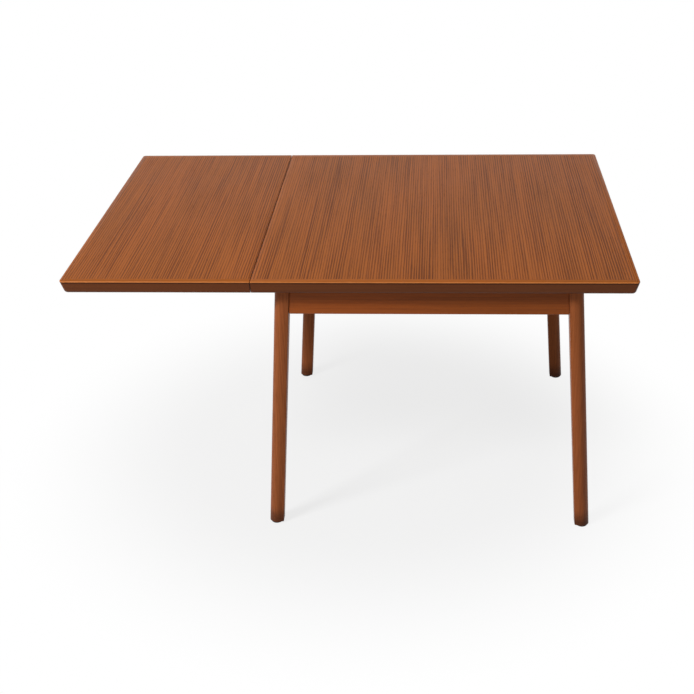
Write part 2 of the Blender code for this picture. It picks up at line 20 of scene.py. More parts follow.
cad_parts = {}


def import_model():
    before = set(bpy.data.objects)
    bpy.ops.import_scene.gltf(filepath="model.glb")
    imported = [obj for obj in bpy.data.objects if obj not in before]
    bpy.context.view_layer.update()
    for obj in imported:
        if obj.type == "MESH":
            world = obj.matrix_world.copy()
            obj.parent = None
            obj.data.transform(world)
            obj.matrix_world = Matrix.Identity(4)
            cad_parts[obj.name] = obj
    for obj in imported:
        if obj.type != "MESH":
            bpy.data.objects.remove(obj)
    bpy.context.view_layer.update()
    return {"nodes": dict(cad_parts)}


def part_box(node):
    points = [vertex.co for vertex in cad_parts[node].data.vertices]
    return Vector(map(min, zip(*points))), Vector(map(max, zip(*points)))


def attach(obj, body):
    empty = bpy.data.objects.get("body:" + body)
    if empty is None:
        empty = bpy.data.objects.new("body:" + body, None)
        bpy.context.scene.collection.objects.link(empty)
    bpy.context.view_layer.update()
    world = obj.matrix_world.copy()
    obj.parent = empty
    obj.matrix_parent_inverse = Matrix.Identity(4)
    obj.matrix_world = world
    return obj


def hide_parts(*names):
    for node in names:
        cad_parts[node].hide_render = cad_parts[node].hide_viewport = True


LOG = logging.getLogger("dining_table")
IMAGE_SIDE = 694
NEAR = 1e-5
CUT_NEAR = 1e-6
PARALLEL = 0.999
SMOOTH_ANGLE = math.radians(32)
SOFTEN_ANGLE = math.radians(40)
ROD_SIDES = 48
FINE_STEPS = 8
DOWN = (0, 0, -1)
UNMOVED = Matrix.Identity(4)
WHITE = (1.0, 1.0, 1.0, 1.0)
# A Mix node's inputs between its share and its colours, left as they are
BEFORE_COLOURS = (None,) * 5

Colour = tuple[float, float, float]
Point = Sequence[float]
Plane = tuple[Point, Point]
Test = Callable[[object], bool]
Piece = bpy.types.Object
Material = bpy.types.Material
Node = bpy.types.Node
NodeTree = bpy.types.NodeTree
Socket = bpy.types.NodeSocket
Sockets = bpy.types.bpy_prop_collection


class Body(Enum):
    """The bodies that pieces ride on."""

    TABLE = "table"
    LEAF = "leaf"
    LEG_FRAME = "leg_frame"
    FRONT_LEFT_FOOT = "front_left_foot"
    REAR_LEFT_FOOT = "rear_left_foot"
    FRONT_RIGHT_FOOT = "front_right_foot"
    REAR_RIGHT_FOOT = "rear_right_foot"


FEET = tuple(body for body in Body if body.value.endswith("_foot"))


class Slot(Enum):
    """The record's material slots."""

    TOP_VENEER = "top_veneer"
    LIPPING = "lipping_wood"
    FRAME = "frame_wood"
    INNER = "inner_wood"
    STEEL = "steel"
    BRASS = "brass"
    NYLON = "nylon"
    RUBBER = "rubber"


class Grain(Enum):
    """The way the grain runs, as the turn that brings it onto the X axis."""

    ALONG_X = (0.0, 0.0, 0.0)
    ALONG_Y = (0.0, 0.0, -math.pi / 2)
    ALONG_Z = (0.0, math.pi / 2, 0.0)


class Part(Enum):
    """What edit mode picks: the bmesh list, and Blender's name for the select mode."""

    VERTS = ("verts", "VERT")
    EDGES = ("edges", "EDGE")
    FACES = ("faces", "FACE")


class Axis(Enum):
    """Axes as indices of a vector."""

    X = 0
    Y = 1
    Z = 2


class Side(Enum):
    """The table's long sides, by the sign of their Y."""

    FRONT = -1
    REAR = 1

    @property
    def label(self) -> str:
        """The side's word in the names of pieces."""
        return self.name.lower()


def middle_of(node: str) -> Vector:
    """The middle of a solid's box."""
    low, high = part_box(node)
    return (low + high) / 2


def ends_of(node: str, axis: Axis) -> Point:
    """Where a solid's box starts and ends along an axis."""
    return [corner[axis.value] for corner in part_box(node)]


def end_of(node: str, axis: Axis, way: int) -> float:
    """The high end of a solid's box along an axis for a way of 1, and the low end for -1."""
    low, high = ends_of(node, axis)
    return high if way > 0 else low


def size_of(node: str, axis: Axis) -> float:
    """How far a solid's box reaches along an axis."""
    low, high = ends_of(node, axis)
    return high - low


def lies_at(axis: Axis, place: float) -> Test:
    """A test for vertices, edges and faces that lie where an axis has a given value."""
    at = axis.value
    return lambda item: all(abs(vert.co[at] - place) < NEAR for vert in getattr(item, "verts", (item,)))


def runs_along(axis: Axis) -> Test:
    """A test for edges that are parallel to an axis."""
    at = axis.value
    return lambda edge: abs(edge.verts[1].co[at] - edge.verts[0].co[at]) > PARALLEL * edge.calc_length()


def both(first: Test, second: Test) -> Test:
    """A test for what passes two tests."""
    return lambda item: first(item) and second(item)


def take(piece: Piece) -> None:
    """Make a piece the only selected one.

    Args:
        piece: The piece.
    """
    bpy.ops.object.select_all(action="DESELECT")
    piece.select_set(True)
    bpy.context.view_layer.objects.active = piece


def discard(piece: Piece) -> None:
    """Remove a pattern or a cutter that has served."""
    bpy.data.objects.remove(piece, do_unlink=True)


def rename(piece: Piece, name: str) -> Piece:
    """Give a piece and its mesh one name."""
    piece.name = piece.data.name = name
    return piece


def settle(name: str) -> Piece:
    """Name the primitive that was just added, and put its place into its mesh."""
    bpy.ops.object.transform_apply(location=True, rotation=True, scale=True)
    return rename(bpy.context.active_object, name)


def add_block(name: str, low: Point, high: Point) -> Piece:
    """A cube primitive brought to a box.

    Args:
        name: The piece's name.
        low: The box's lowest corner.
        high: The box's highest corner.

    Returns:
        The piece.
    """
    low, high = Vector(low), Vector(high)
    bpy.ops.object.select_all(action="DESELECT")
    bpy.ops.mesh.primitive_cube_add(size=1.0, location=(low + high) / 2, scale=high - low)
    return settle(name)


def add_rod(name: str, start: Point, end: Point, radius: float, sides: int = ROD_SIDES) -> Piece:
    """A cylinder primitive between two points.

    Args:
        name: The piece's name.
        start: The middle of one end.
        end: The middle of the other end.
        radius: The radius.
        sides: How many sides it has.

    Returns:
        The piece.
    """
    start, run = Vector(start), Vector(end) - Vector(start)
    turn = run.to_track_quat("Z", "Y").to_euler()
    bpy.ops.object.select_all(action="DESELECT")
    bpy.ops.mesh.primitive_cylinder_add(
        vertices=sides, radius=radius, depth=run.length, location=start + run / 2, rotation=turn
    )
    return settle(name)


def add_post(
    name: str, middle: Point, low: float, high: float, radius: float, sides: int = ROD_SIDES
) -> Piece:
    """An upright cylinder primitive between two heights."""
    x, y = middle[:2]
    return add_rod(name, (x, y, low), (x, y, high), radius, sides)


@contextmanager
def editing(piece: Piece) -> Iterator[None]:
    """Edit mode on one piece.

    Args:
        piece: The piece to edit.

    Returns:
        A context that leaves edit mode when it ends.
    """
    take(piece)
    bpy.ops.object.mode_set(mode="EDIT")
    try:
        yield
    finally:
        bpy.ops.object.mode_set(mode="OBJECT")


def pick(piece: Piece, part: Part, test: Test) -> None:
    """Select, in edit mode, what a test accepts.

    Args:
        piece: The piece in edit mode.
        part: Whether vertices, edges or faces are picked.
        test: Says whether one of them is picked.
    """
    items, mode = part.value
    bpy.ops.mesh.select_mode(type=mode)
    bpy.ops.mesh.select_all(action="DESELECT")
    mesh = bmesh.from_edit_mesh(piece.data)
    for item in getattr(mesh, items):
        if test(item):
            item.select_set(True)
    mesh.select_flush_mode()
    bmesh.update_edit_mesh(piece.data)


def round_edges(piece: Piece, test: Test, radius: float, steps: int = 4) -> None:
    """Bevel the edges that a test accepts.

    Args:
        piece: The piece.
        test: Says whether an edge is rounded.
        radius: The bevel's width.
        steps: How many faces round each edge.
    """
    with editing(piece):
        pick(piece, Part.EDGES, test)
        bpy.ops.mesh.bevel(offset=radius, segments=steps, affect="EDGES", clamp_overlap=True)


def slice_off(piece: Piece, point: Point, normal: Point) -> None:
    """Bisect a piece, fill the cut, and drop the side that the normal points to.

    Args:
        piece: The piece.
        point: A point of the cutting plane.
        normal: The plane's normal, towards what is dropped.
    """
    with editing(piece):
        bpy.ops.mesh.select_all(action="SELECT")
        bpy.ops.mesh.bisect(
            plane_co=point, plane_no=normal, use_fill=True, clear_outer=True, threshold=CUT_NEAR
        )


def apply_modifier(piece: Piece, kind: str, **settings: object) -> None:
    """Add a modifier to a piece and apply it.

    Args:
        piece: The piece.
        kind: The modifier's type.
        settings: Attributes to set on it.
    """
    change = piece.modifiers.new(kind.lower(), kind)
    for name, value in settings.items():
        setattr(change, name, value)
    take(piece)
    bpy.ops.object.modifier_apply(modifier=change.name)


def soften(piece: Piece, radius: float, steps: int = 3) -> None:
    """Round every sharp edge of a piece."""
    apply_modifier(
        piece, "BEVEL", width=radius, segments=steps, limit_method="ANGLE", angle_limit=SOFTEN_ANGLE
    )


def combine(piece: Piece, other: Piece, operation: str) -> None:
    """Cut a piece by another shape (DIFFERENCE) or join the two (UNION), and discard the other shape."""
    apply_modifier(piece, "BOOLEAN", object=other, operation=operation)
    discard(other)


def copy_piece(piece: Piece, name: str, move: Matrix = UNMOVED) -> Piece:
    """A copy of a piece with a mesh of its own.

    Args:
        piece: The piece to copy.
        name: The copy's name.
        move: How the copy's mesh is moved.

    Returns:
        The copy.
    """
    twin = piece.copy()
    twin.data = piece.data.copy()
    twin.data.transform(move)
    bpy.context.scene.collection.objects.link(twin)
    return rename(twin, name)


def merge(name: str, pieces: Sequence[Piece]) -> Piece:
    """Join loose pieces, such as the screws of one plate, into one object.

    Args:
        name: The name of what they become.
        pieces: The pieces.

    Returns:
        The joined object.
    """
    take(pieces[0])
    for piece in pieces:
        piece.select_set(True)
    bpy.ops.object.join()
    return rename(bpy.context.active_object, name)


@dataclass(frozen=True)
class Layer:
    """A layer of noise: a blotch's size in metres, and the number and strength of its finer layers."""

    size: Point
    detail: float = 1.0
    roughness: float = 0.5


class Sheet:
    """A node tree with short ways to add nodes and feed their sockets."""

    def __init__(self, tree: NodeTree) -> None:
        """Keep the tree."""
        self.tree = tree

    def add(self, kind: str, *values: object, **settings: object) -> Node:
        """Add a node.

        Args:
            kind: The node's type.
            values: Values or sockets for its first inputs, with None for one that stays as it is.
            settings: Attributes to set on it.

        Returns:
            The node.
        """
        node = self.tree.nodes.new(kind)
        for name, value in settings.items():
            setattr(node, name, value)
        for socket, value in zip(node.inputs, values):
            if value is not None:
                self.feed(socket, value)
        return node

    def feed(self, socket: Socket, value: object) -> None:
        """Link another socket into this one, or set its value.

        Args:
            socket: The input to feed.
            value: A socket, or a value.
        """
        if isinstance(value, Socket):
            self.tree.links.new(value, socket)
        else:
            socket.default_value = value

    def split(self, vector: Socket) -> Sockets:
        """A vector's three parts."""
        return self.add("ShaderNodeSeparateXYZ", vector).outputs

    def calc(self, operation: str, *values: object, clamp: bool = False) -> Socket:
        """A Math node's result, kept between 0 and 1 if it is clamped."""
        return self.add("ShaderNodeMath", *values, operation=operation, use_clamp=clamp).outputs[0]

    def blend(self, share: object, first: object, second: object) -> Socket:
        """A number between two others, with a share of the second."""
        return self.calc("MULTIPLY_ADD", share, self.calc("SUBTRACT", second, first), first)

    def mix(self, share: object, first: object, second: object) -> Socket:
        """A colour between two others, with a share of the second."""
        return self.add("ShaderNodeMix", share, *BEFORE_COLOURS, first, second, data_type="RGBA").outputs[2]

    def spread(self, value: object, *ends: object) -> Socket:
        """A smooth Map Range from two ends to 0 and 1, or to two more ends."""
        return self.add("ShaderNodeMapRange", value, *ends, interpolation_type="SMOOTHSTEP").outputs[0]

    def noise(self, vector: Socket, layer: Layer) -> Socket:
        """A layer of noise, about 0.5 on average."""
        unit = self.add("ShaderNodeVectorMath", vector, layer.size, operation="DIVIDE").outputs[0]
        return self.add("ShaderNodeTexNoise", unit, None, 1.0, layer.detail, layer.roughness).outputs[0]


@dataclass
class NodeGroups:
    """Effects that several finishes share, each one node group.

    A layer's size is along X, Y and Z, and grain runs along X. A range is the two values that become 0
    and 1, or four values: two, and what they become.
    """

    wander: Layer = Layer((0.22, 0.05, 0.05), 2.0)
    sway: Point = (0.0, 0.002, 0.002)
    line_pitch: float = 0.0062
    ring_slant: float = 0.6
    drift: Layer = Layer((0.90, 0.011, 0.011))
    drift_turn: float = 6.0
    wave_swing: float = 0.22
    broad: Layer = Layer((0.55, 0.0065, 0.0065))
    narrow: Layer = Layer((0.25, 0.0024, 0.0024))
    broad_share: float = 0.15
    wave_share: float = 0.65
    stripe_range: Point = (0.38, 0.62)
    bands: Layer = Layer((0.60, 0.022, 0.022))
    band_range: Point = (0.30, 0.70, 0.70, 1.12)
    dashes: Layer = Layer((0.020, 0.0011, 0.0011))
    pore_range: Point = (0.56, 0.70)
    pores_off_stripe: float = 0.3
    pore_roughness: float = 0.16
    tone: Layer = Layer((0.45, 0.11, 0.11), 2.0)
    value_range: Point = (0.25, 0.75, 0.94, 1.06)
    hue_range: Point = (0.2, 0.8, 0.501, 0.499)
    fibre: Layer = Layer((0.05, 0.0009, 0.0009))
    fibre_roughness: float = 0.06
    fibre_height: float = 0.35
    patches: Layer = Layer((0.03, 0.03, 0.012), 3.0, 0.6)
    gap_range: Point = (0.62, 0.30, 0.0, 0.65)
    clouds: Layer = Layer((0.14, 0.14, 0.14), 4.0, 0.6)
    specks: Layer = Layer((1.0, 1.0, 1.0), 3.0, 0.65)
    speck_range: Point = (0.4, 0.68)
    speck_share: float = 0.7
    blotches: Layer = Layer((0.06, 0.03, 0.03), 3.0)

    def __post_init__(self) -> None:
        """Build each group once."""
        self.grain = self.make_grain()
        self.mark = self.make_mark()
        self.haze = self.make_haze()
        self.fleck = self.make_fleck()

    @staticmethod
    def start(
        name: str, colours: Sequence[str], numbers: Sequence[str], outputs: Sequence[str]
    ) -> tuple[Sheet, Sockets, Sockets]:
        """Open a new group that takes a Vector.

        Args:
            name: The group's name.
            colours: Names of the inputs that are colours.
            numbers: Names of the inputs that are numbers.
            outputs: Names of the outputs, of which Color is a colour and the others are numbers.

        Returns:
            The sheet, the sockets that bring the inputs and those that take the outputs.
        """
        tree = bpy.data.node_groups.new(name, "ShaderNodeTree")
        tree.interface.new_socket("Vector", in_out="INPUT", socket_type="NodeSocketVector")
        for label in (*colours, *numbers):
            kind = "NodeSocketColor" if label in colours else "NodeSocketFloat"
            tree.interface.new_socket(label, in_out="INPUT", socket_type=kind)
        for label in outputs:
            kind = "NodeSocketColor" if label == "Color" else "NodeSocketFloat"
            tree.interface.new_socket(label, in_out="OUTPUT", socket_type=kind)
        sheet = Sheet(tree)
        return sheet, sheet.add("NodeGroupInput").outputs, sheet.add("NodeGroupOutput").inputs

    def make_grain(self) -> NodeTree:
        """Stained wood grain that runs along X.

        Returns:
            The group, with colour, roughness and height.
        """
        sheet, given, wanted = self.start(
            "stained_grain",
            ("Light", "Dark", "Pore"),
            ("Line Share", "Stripe Contrast", "Pore Amount", "Roughness"),
            ("Color", "Roughness", "Height"),
        )
        place = given["Vector"]
        wander = sheet.noise(place, self.wander)
        swayed = sheet.add("ShaderNodeVectorMath", wander, self.sway, place, operation="MULTIPLY_ADD")
        lines = swayed.outputs[0]
        _, across, up = sheet.split(lines)
        rings = sheet.calc("MULTIPLY_ADD", up, self.ring_slant, across)
        counted = sheet.calc("MULTIPLY", rings, math.tau / self.line_pitch)
        bent = sheet.calc("MULTIPLY_ADD", sheet.noise(lines, self.drift), self.drift_turn, counted)
        wave = sheet.calc("MULTIPLY_ADD", sheet.calc("SINE", bent), self.wave_swing, 0.5)
        narrow, broad = sheet.noise(lines, self.narrow), sheet.noise(lines, self.broad)
        loose = sheet.blend(self.broad_share, narrow, broad)
        ruled = sheet.blend(self.wave_share, loose, wave)
        stripe = sheet.spread(sheet.blend(given["Line Share"], loose, ruled), *self.stripe_range)
        bands = sheet.spread(sheet.noise(lines, self.bands), *self.band_range)
        strength = sheet.calc("MULTIPLY", given["Stripe Contrast"], bands)
        stained = sheet.calc("MULTIPLY", stripe, strength, clamp=True)
        dashes = sheet.spread(sheet.noise(lines, self.dashes), *self.pore_range)
        pores = sheet.calc("MULTIPLY", dashes, sheet.blend(self.pores_off_stripe, stripe, 1.0))
        pored = sheet.calc("MULTIPLY", pores, given["Pore Amount"], clamp=True)
        colour = sheet.mix(pored, sheet.mix(stained, given["Light"], given["Dark"]), given["Pore"])
        tone = sheet.noise(place, self.tone)
        hue, value = sheet.spread(tone, *self.hue_range), sheet.spread(tone, *self.value_range)
        shaded = sheet.add("ShaderNodeHueSaturation", hue, None, value, None, colour).outputs[0]
        fibre = sheet.noise(lines, self.fibre)
        rough = sheet.calc("MULTIPLY_ADD", pored, self.pore_roughness, given["Roughness"])
        raised = sheet.calc("MULTIPLY", fibre, self.fibre_height)
        sheet.feed(wanted["Color"], shaded)
        sheet.feed(
            wanted["Roughness"], sheet.calc("MULTIPLY_ADD", fibre, self.fibre_roughness, rough, clamp=True)
        )
        sheet.feed(wanted["Height"], sheet.calc("SUBTRACT", raised, pored))
        return sheet.tree

    def make_mark(self) -> NodeTree:
        """A band of painted light or shade round one height: a painted highlight on the arris, a dark shadow
        line, painted shade on the lippings' edge faces or painted shade towards the foot.

        Returns:
            The group, with a mask.
        """
        numbers = ("Level", "Core", "Reach", "Amount", "Patchy")
        sheet, given, wanted = self.start("height_mark", (), numbers, ("Mask",))
        up = sheet.split(given["Vector"])[2]
        away = sheet.calc("ABSOLUTE", sheet.calc("SUBTRACT", up, given["Level"]))
        near = sheet.spread(away, given["Core"], given["Reach"], 1.0, 0.0)
        patches = sheet.spread(sheet.noise(given["Vector"], self.patches), *self.gap_range)
        gaps = sheet.calc("MULTIPLY", patches, given["Patchy"])
        broken = sheet.calc("MULTIPLY", near, sheet.calc("SUBTRACT", 1.0, gaps))
        sheet.feed(wanted["Mask"], sheet.calc("MULTIPLY", broken, given["Amount"], clamp=True))
        return sheet.tree

    def make_haze(self) -> NodeTree:
        """Uneven sheen, as hands and cloths leave on lacquer, plastic or plated steel.

        Returns:
            The group, with a roughness.
        """
        sheet, given, wanted = self.start("sheen_haze", (), ("Roughness", "Swing"), ("Roughness",))
        clouds = sheet.noise(given["Vector"], self.clouds)
        swing = sheet.calc("MULTIPLY", sheet.calc("SUBTRACT", clouds, 0.5), given["Swing"])
        sheet.feed(wanted["Roughness"], sheet.calc("ADD", given["Roughness"], swing, clamp=True))
        return sheet.tree

    def make_fleck(self) -> NodeTree:
        """A fine two-colour mottle: backing paper, rubber, nylon or plating.

        Returns:
            The group, with colour and height.
        """
        outputs = ("Color", "Height")
        sheet, given, wanted = self.start("fine_fleck", ("Base", "Fleck"), ("Fineness",), outputs)
        place = given["Vector"]
        fine = sheet.add("ShaderNodeVectorMath", place, None, None, given["Fineness"], operation="SCALE")
        specks = sheet.noise(fine.outputs[0], self.specks)
        blotches = sheet.noise(place, self.blotches)
        share = sheet.blend(self.speck_share, blotches, sheet.spread(specks, *self.speck_range))
        sheet.feed(wanted["Color"], sheet.mix(share, given["Base"], given["Fleck"]))
        sheet.feed(wanted["Height"], specks)
        return sheet.tree


@dataclass(frozen=True)
class Mark:
    """A band of painted light or shade round one height of a piece, counted from the face of the top or from
    the floor.
    """

    level: float
    core: float
    reach: float
    amount: float
    patchy: float
    colour: Colour
    from_top: bool = True


@dataclass(frozen=True)
class Backing:
    """The pale backing under a panel, which lies in a recess inside a stained border."""

    base: Colour = (0.36, 0.305, 0.255)
    fleck: Colour = (0.26, 0.215, 0.175)
    fineness: float = 900.0
    roughness: float = 0.75
    recess: float = 0.0006


@dataclass(frozen=True, kw_only=True)
class Finish:
    """What every finish has: its name, its slot and its sheen."""

    name: str
    slot: Slot
    roughness: float
    swing: float = 0.10
    specular: float = 0.5
    metallic: float = 0.0
    bump: float = 0.0001
    bump_strength: float = 0.35


@dataclass(frozen=True, kw_only=True)
class WoodFinish(Finish):
    """A stained or sealed wood: its colours, its grain, its bands of painted light and shade and a panel's
    backing.
    """

    light: Colour
    dark: Colour
    pore: Colour
    line_share: float
    stripe_contrast: float
    pore_amount: float
    bump: float = 0.0003
    marks: tuple[Mark, ...] = ()
    backing: Backing | None = None


@dataclass(frozen=True, kw_only=True)
class FleckFinish(Finish):
    """A plain material with a fine mottle, such as plating, nylon or rubber."""

    base: Colour
    fleck: Colour
    fineness: float


# Painted highlight: a bright band along the top arris of the lippings, where light catches the rounded edge.
ARRIS_HIGHLIGHT = Mark(
    level=-0.0015, core=0.0010, reach=0.0014, amount=0.80, patchy=0.4, colour=(0.530, 0.180, 0.048)
)
SHADOW_LINE = Mark(
    level=-0.0050, core=0.0012, reach=0.0024, amount=0.80, patchy=0.2, colour=(0.040, 0.011, 0.004)
)
# Painted shade: darkens the lippings below their top face, on the edge faces and the lower side.
EDGE_SHADE = Mark(
    level=-0.0200, core=0.0166, reach=0.0177, amount=0.80, patchy=0.0, colour=(0.085, 0.024, 0.009)
)
# Painted shade: frame wood and legs grow darker towards the floor, standing in for a contact shadow and
# light that falls off lower down.
FOOT_SHADE = Mark(
    level=0.0,
    core=0.007,
    reach=0.060,
    amount=0.85,
    patchy=0.4,
    colour=(0.050, 0.014, 0.005),
    from_top=False,
)
VENEER = WoodFinish(
    name="stained_veneer",
    slot=Slot.TOP_VENEER,
    light=(0.342, 0.096, 0.015),
    dark=(0.132, 0.032, 0.005),
    pore=(0.060, 0.015, 0.004),
    line_share=0.76,
    stripe_contrast=0.90,
    pore_amount=0.50,
    roughness=0.29,
    specular=0.09,
    backing=Backing(),
)
END_LIPPING = replace(
    VENEER,
    name="end_lipping",
    slot=Slot.LIPPING,
    dark=(0.140, 0.034, 0.005),
    pore=(0.065, 0.016, 0.004),
    stripe_contrast=0.85,
    marks=(EDGE_SHADE, SHADOW_LINE, ARRIS_HIGHLIGHT),
    backing=None,
)
LIPPING = replace(
    END_LIPPING,
    name="side_lipping",
    light=(0.330, 0.094, 0.014),
    dark=(0.225, 0.058, 0.008),
    pore=(0.110, 0.027, 0.005),
    line_share=0.3,
    stripe_contrast=0.75,
    pore_amount=0.35,
)
FRAME_WOOD = WoodFinish(
    name="stained_frame",
    slot=Slot.FRAME,
    light=(0.276, 0.064, 0.009),
    dark=(0.188, 0.041, 0.005),
    pore=(0.100, 0.022, 0.004),
    line_share=0.1,
    stripe_contrast=0.65,
    pore_amount=0.30,
    roughness=0.36,
    specular=0.14,
    marks=(FOOT_SHADE,),
)
LEG_WOOD = replace(
    FRAME_WOOD,
    name="stained_leg",
    light=(0.290, 0.083, 0.024),
    dark=(0.198, 0.053, 0.015),
    specular=0.08,
)
INNER_WOOD = WoodFinish(
    name="sealed_inner",
    slot=Slot.INNER,
    light=(0.500, 0.340, 0.200),
    dark=(0.380, 0.240, 0.130),
    pore=(0.260, 0.155, 0.080),
    line_share=0.2,
    stripe_contrast=0.65,
    pore_amount=0.40,
    roughness=0.55,
    specular=0.25,
)
STEEL = FleckFinish(
    name="plated_steel",
    slot=Slot.STEEL,
    base=(0.450, 0.440, 0.425),
    fleck=(0.340, 0.332, 0.322),
    fineness=420.0,
    roughness=0.36,
    swing=0.16,
    metallic=1.0,
)
BRASS = replace(
    STEEL,
    name="brass",
    slot=Slot.BRASS,
    base=(0.600, 0.430, 0.170),
    fleck=(0.480, 0.330, 0.120),
    fineness=380.0,
    roughness=0.34,
    swing=0.12,
)
NYLON = FleckFinish(
    name="black_nylon",
    slot=Slot.NYLON,
    base=(0.022, 0.020, 0.019),
    fleck=(0.036, 0.033, 0.031),
    fineness=900.0,
    roughness=0.50,
)
RUBBER = FleckFinish(
    name="bumper_rubber",
    slot=Slot.RUBBER,
    base=(0.030, 0.028, 0.026),
    fleck=(0.060, 0.056, 0.052),
    fineness=1500.0,
    roughness=0.72,
)


class FinishShop:
    """Makes each material once and dresses pieces with it."""

    def __init__(self) -> None:
        """Build the shared groups, and read the heights of the top's underside and face."""
        self.groups = NodeGroups()
        self.made: dict[str, Material] = {}
        self.underside, self.face = ends_of("main_panel", Axis.Z)

    def dress(
        self, piece: Piece, body: Body, finish: Finish, *nodes: str, grain: Grain | None = None
    ) -> None:
        """Shade a finished piece, give it its material and let it ride.

        Args:
            piece: The finished piece.
            body: The body that it rides on.
            finish: Its finish.
            nodes: The solids that it stands for.
            grain: The way its grain runs, if it is wood.
        """
        take(piece)
        bpy.ops.object.shade_smooth_by_angle(angle=SMOOTH_ANGLE)
        self.coat(piece, finish, grain)
        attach(piece, body.value)
        if nodes:
            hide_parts(*nodes)
        LOG.info("%s rides on %s, %d faces", piece.name, body.value, len(piece.data.polygons))

    def coat(self, piece: Piece, finish: Finish, grain: Grain | None = None) -> None:
        """Give a piece the material of a finish.

        Args:
            piece: The piece, or a solid that still shows.
            finish: The finish.
            grain: The way the grain runs, if it is wood.
        """
        name = f"{finish.name}_{grain.name.lower()}" if grain else finish.name
        if name not in self.made:
            self.made[name] = self.make(name, finish, grain)
        piece.data.materials.clear()
        piece.data.materials.append(self.made[name])

    def make(self, name: str, finish: Finish, grain: Grain | None) -> Material:
        """Make the material of a finish.

        Args:
            name: The material's name.
            finish: The finish.
            grain: The way the grain runs, if it is wood.

        Returns:
            The material.
        """
        material = bpy.data.materials.new(name)
        material.use_nodes = True
        sheet = Sheet(material.node_tree)
        place = sheet.add("ShaderNodeTexCoord").outputs["Object"]
        if grain:
            colour, rough, height = self.wood(sheet, place, finish, grain)
        else:
            colour, rough, height = self.mottle(sheet, place, finish)
        relief = sheet.add("ShaderNodeBump", finish.bump_strength, finish.bump, None, height)
        values = {
            "Base Color": colour,
            "Roughness": rough,
            "Normal": relief.outputs[0],
            "Specular IOR Level": finish.specular,
            "Metallic": finish.metallic,
        }
        shader = sheet.tree.nodes["Principled BSDF"]
        for label, value in values.items():
            sheet.feed(shader.inputs[label], value)
        return material

    @staticmethod
    def use(sheet: Sheet, group: NodeTree, place: Socket, values: dict[str, object]) -> Sockets:
        """Place a group in a material.

        Args:
            sheet: The material's sheet.
            group: The group.
            place: The coordinates that it takes.
            values: A finish's fields, of which the group takes those that it has an input for.

        Returns:
            The group's outputs.
        """
        node = sheet.add("ShaderNodeGroup", place, node_tree=group)
        for name, value in values.items():
            socket = node.inputs.get(name.replace("_", " ").title())
            if socket is not None:
                sheet.feed(socket, (*value, 1.0) if isinstance(value, tuple) else value)
        return node.outputs

    def wood(
        self, sheet: Sheet, place: Socket, finish: WoodFinish, grain: Grain
    ) -> tuple[Socket, Socket, Socket]:
        """Lay out a wood's grain along one axis, its marks and its backing.

        Args:
            sheet: The material's sheet.
            place: Object coordinates.
            finish: The wood.
            grain: The way its grain runs.

        Returns:
            Its colour, roughness and height.
        """
        turned = sheet.add("ShaderNodeMapping", place, None, grain.value).outputs[0]
        figure = self.use(sheet, self.groups.grain, turned, vars(finish))
        sheen = {"roughness": figure["Roughness"], "swing": finish.swing}
        rough = self.use(sheet, self.groups.haze, place, sheen)[0]
        colour = figure["Color"]
        # Each band paints light or shade over the grain: a highlight on the arris, a shadow line, shade on
        # the edge faces or shade towards the floor.
        for mark in finish.marks:
            level = mark.level + (self.face if mark.from_top else 0.0)
            mask = self.use(sheet, self.groups.mark, place, {**vars(mark), "level": level})[0]
            colour = sheet.mix(mask, colour, (*mark.colour, 1.0))
        if finish.backing:
            colour, rough = self.backed(sheet, place, colour, rough, finish.backing)
        return colour, rough, figure["Height"]

    def backed(
        self, sheet: Sheet, place: Socket, colour: Socket, rough: Socket, backing: Backing
    ) -> tuple[Socket, Socket]:
        """Show the pale backing where a panel's underside is recessed.

        Args:
            sheet: The material's sheet.
            place: Object coordinates.
            colour: The wood's colour.
            rough: The wood's roughness.
            backing: The backing.

        Returns:
            The colour and the roughness of both.
        """
        up = sheet.split(place)[2]
        above = sheet.calc("GREATER_THAN", up, self.underside + backing.recess / 2)
        below = sheet.calc("LESS_THAN", up, self.underside + backing.recess * 3 / 2)
        mask = sheet.calc("MULTIPLY", above, below)
        paper = self.use(sheet, self.groups.fleck, place, vars(backing))["Color"]
        return sheet.mix(mask, colour, paper), sheet.blend(mask, rough, backing.roughness)

    def mottle(self, sheet: Sheet, place: Socket, finish: FleckFinish) -> tuple[Socket, Socket, Socket]:
        """Lay out a fine mottle.

        Args:
            sheet: The material's sheet.
            place: Object coordinates.
            finish: The finish.

        Returns:
            Its colour, roughness and height.
        """
        mottle = self.use(sheet, self.groups.fleck, place, vars(finish))
        rough = self.use(sheet, self.groups.haze, place, vars(finish))[0]
        return mottle["Color"], rough, mottle["Height"]


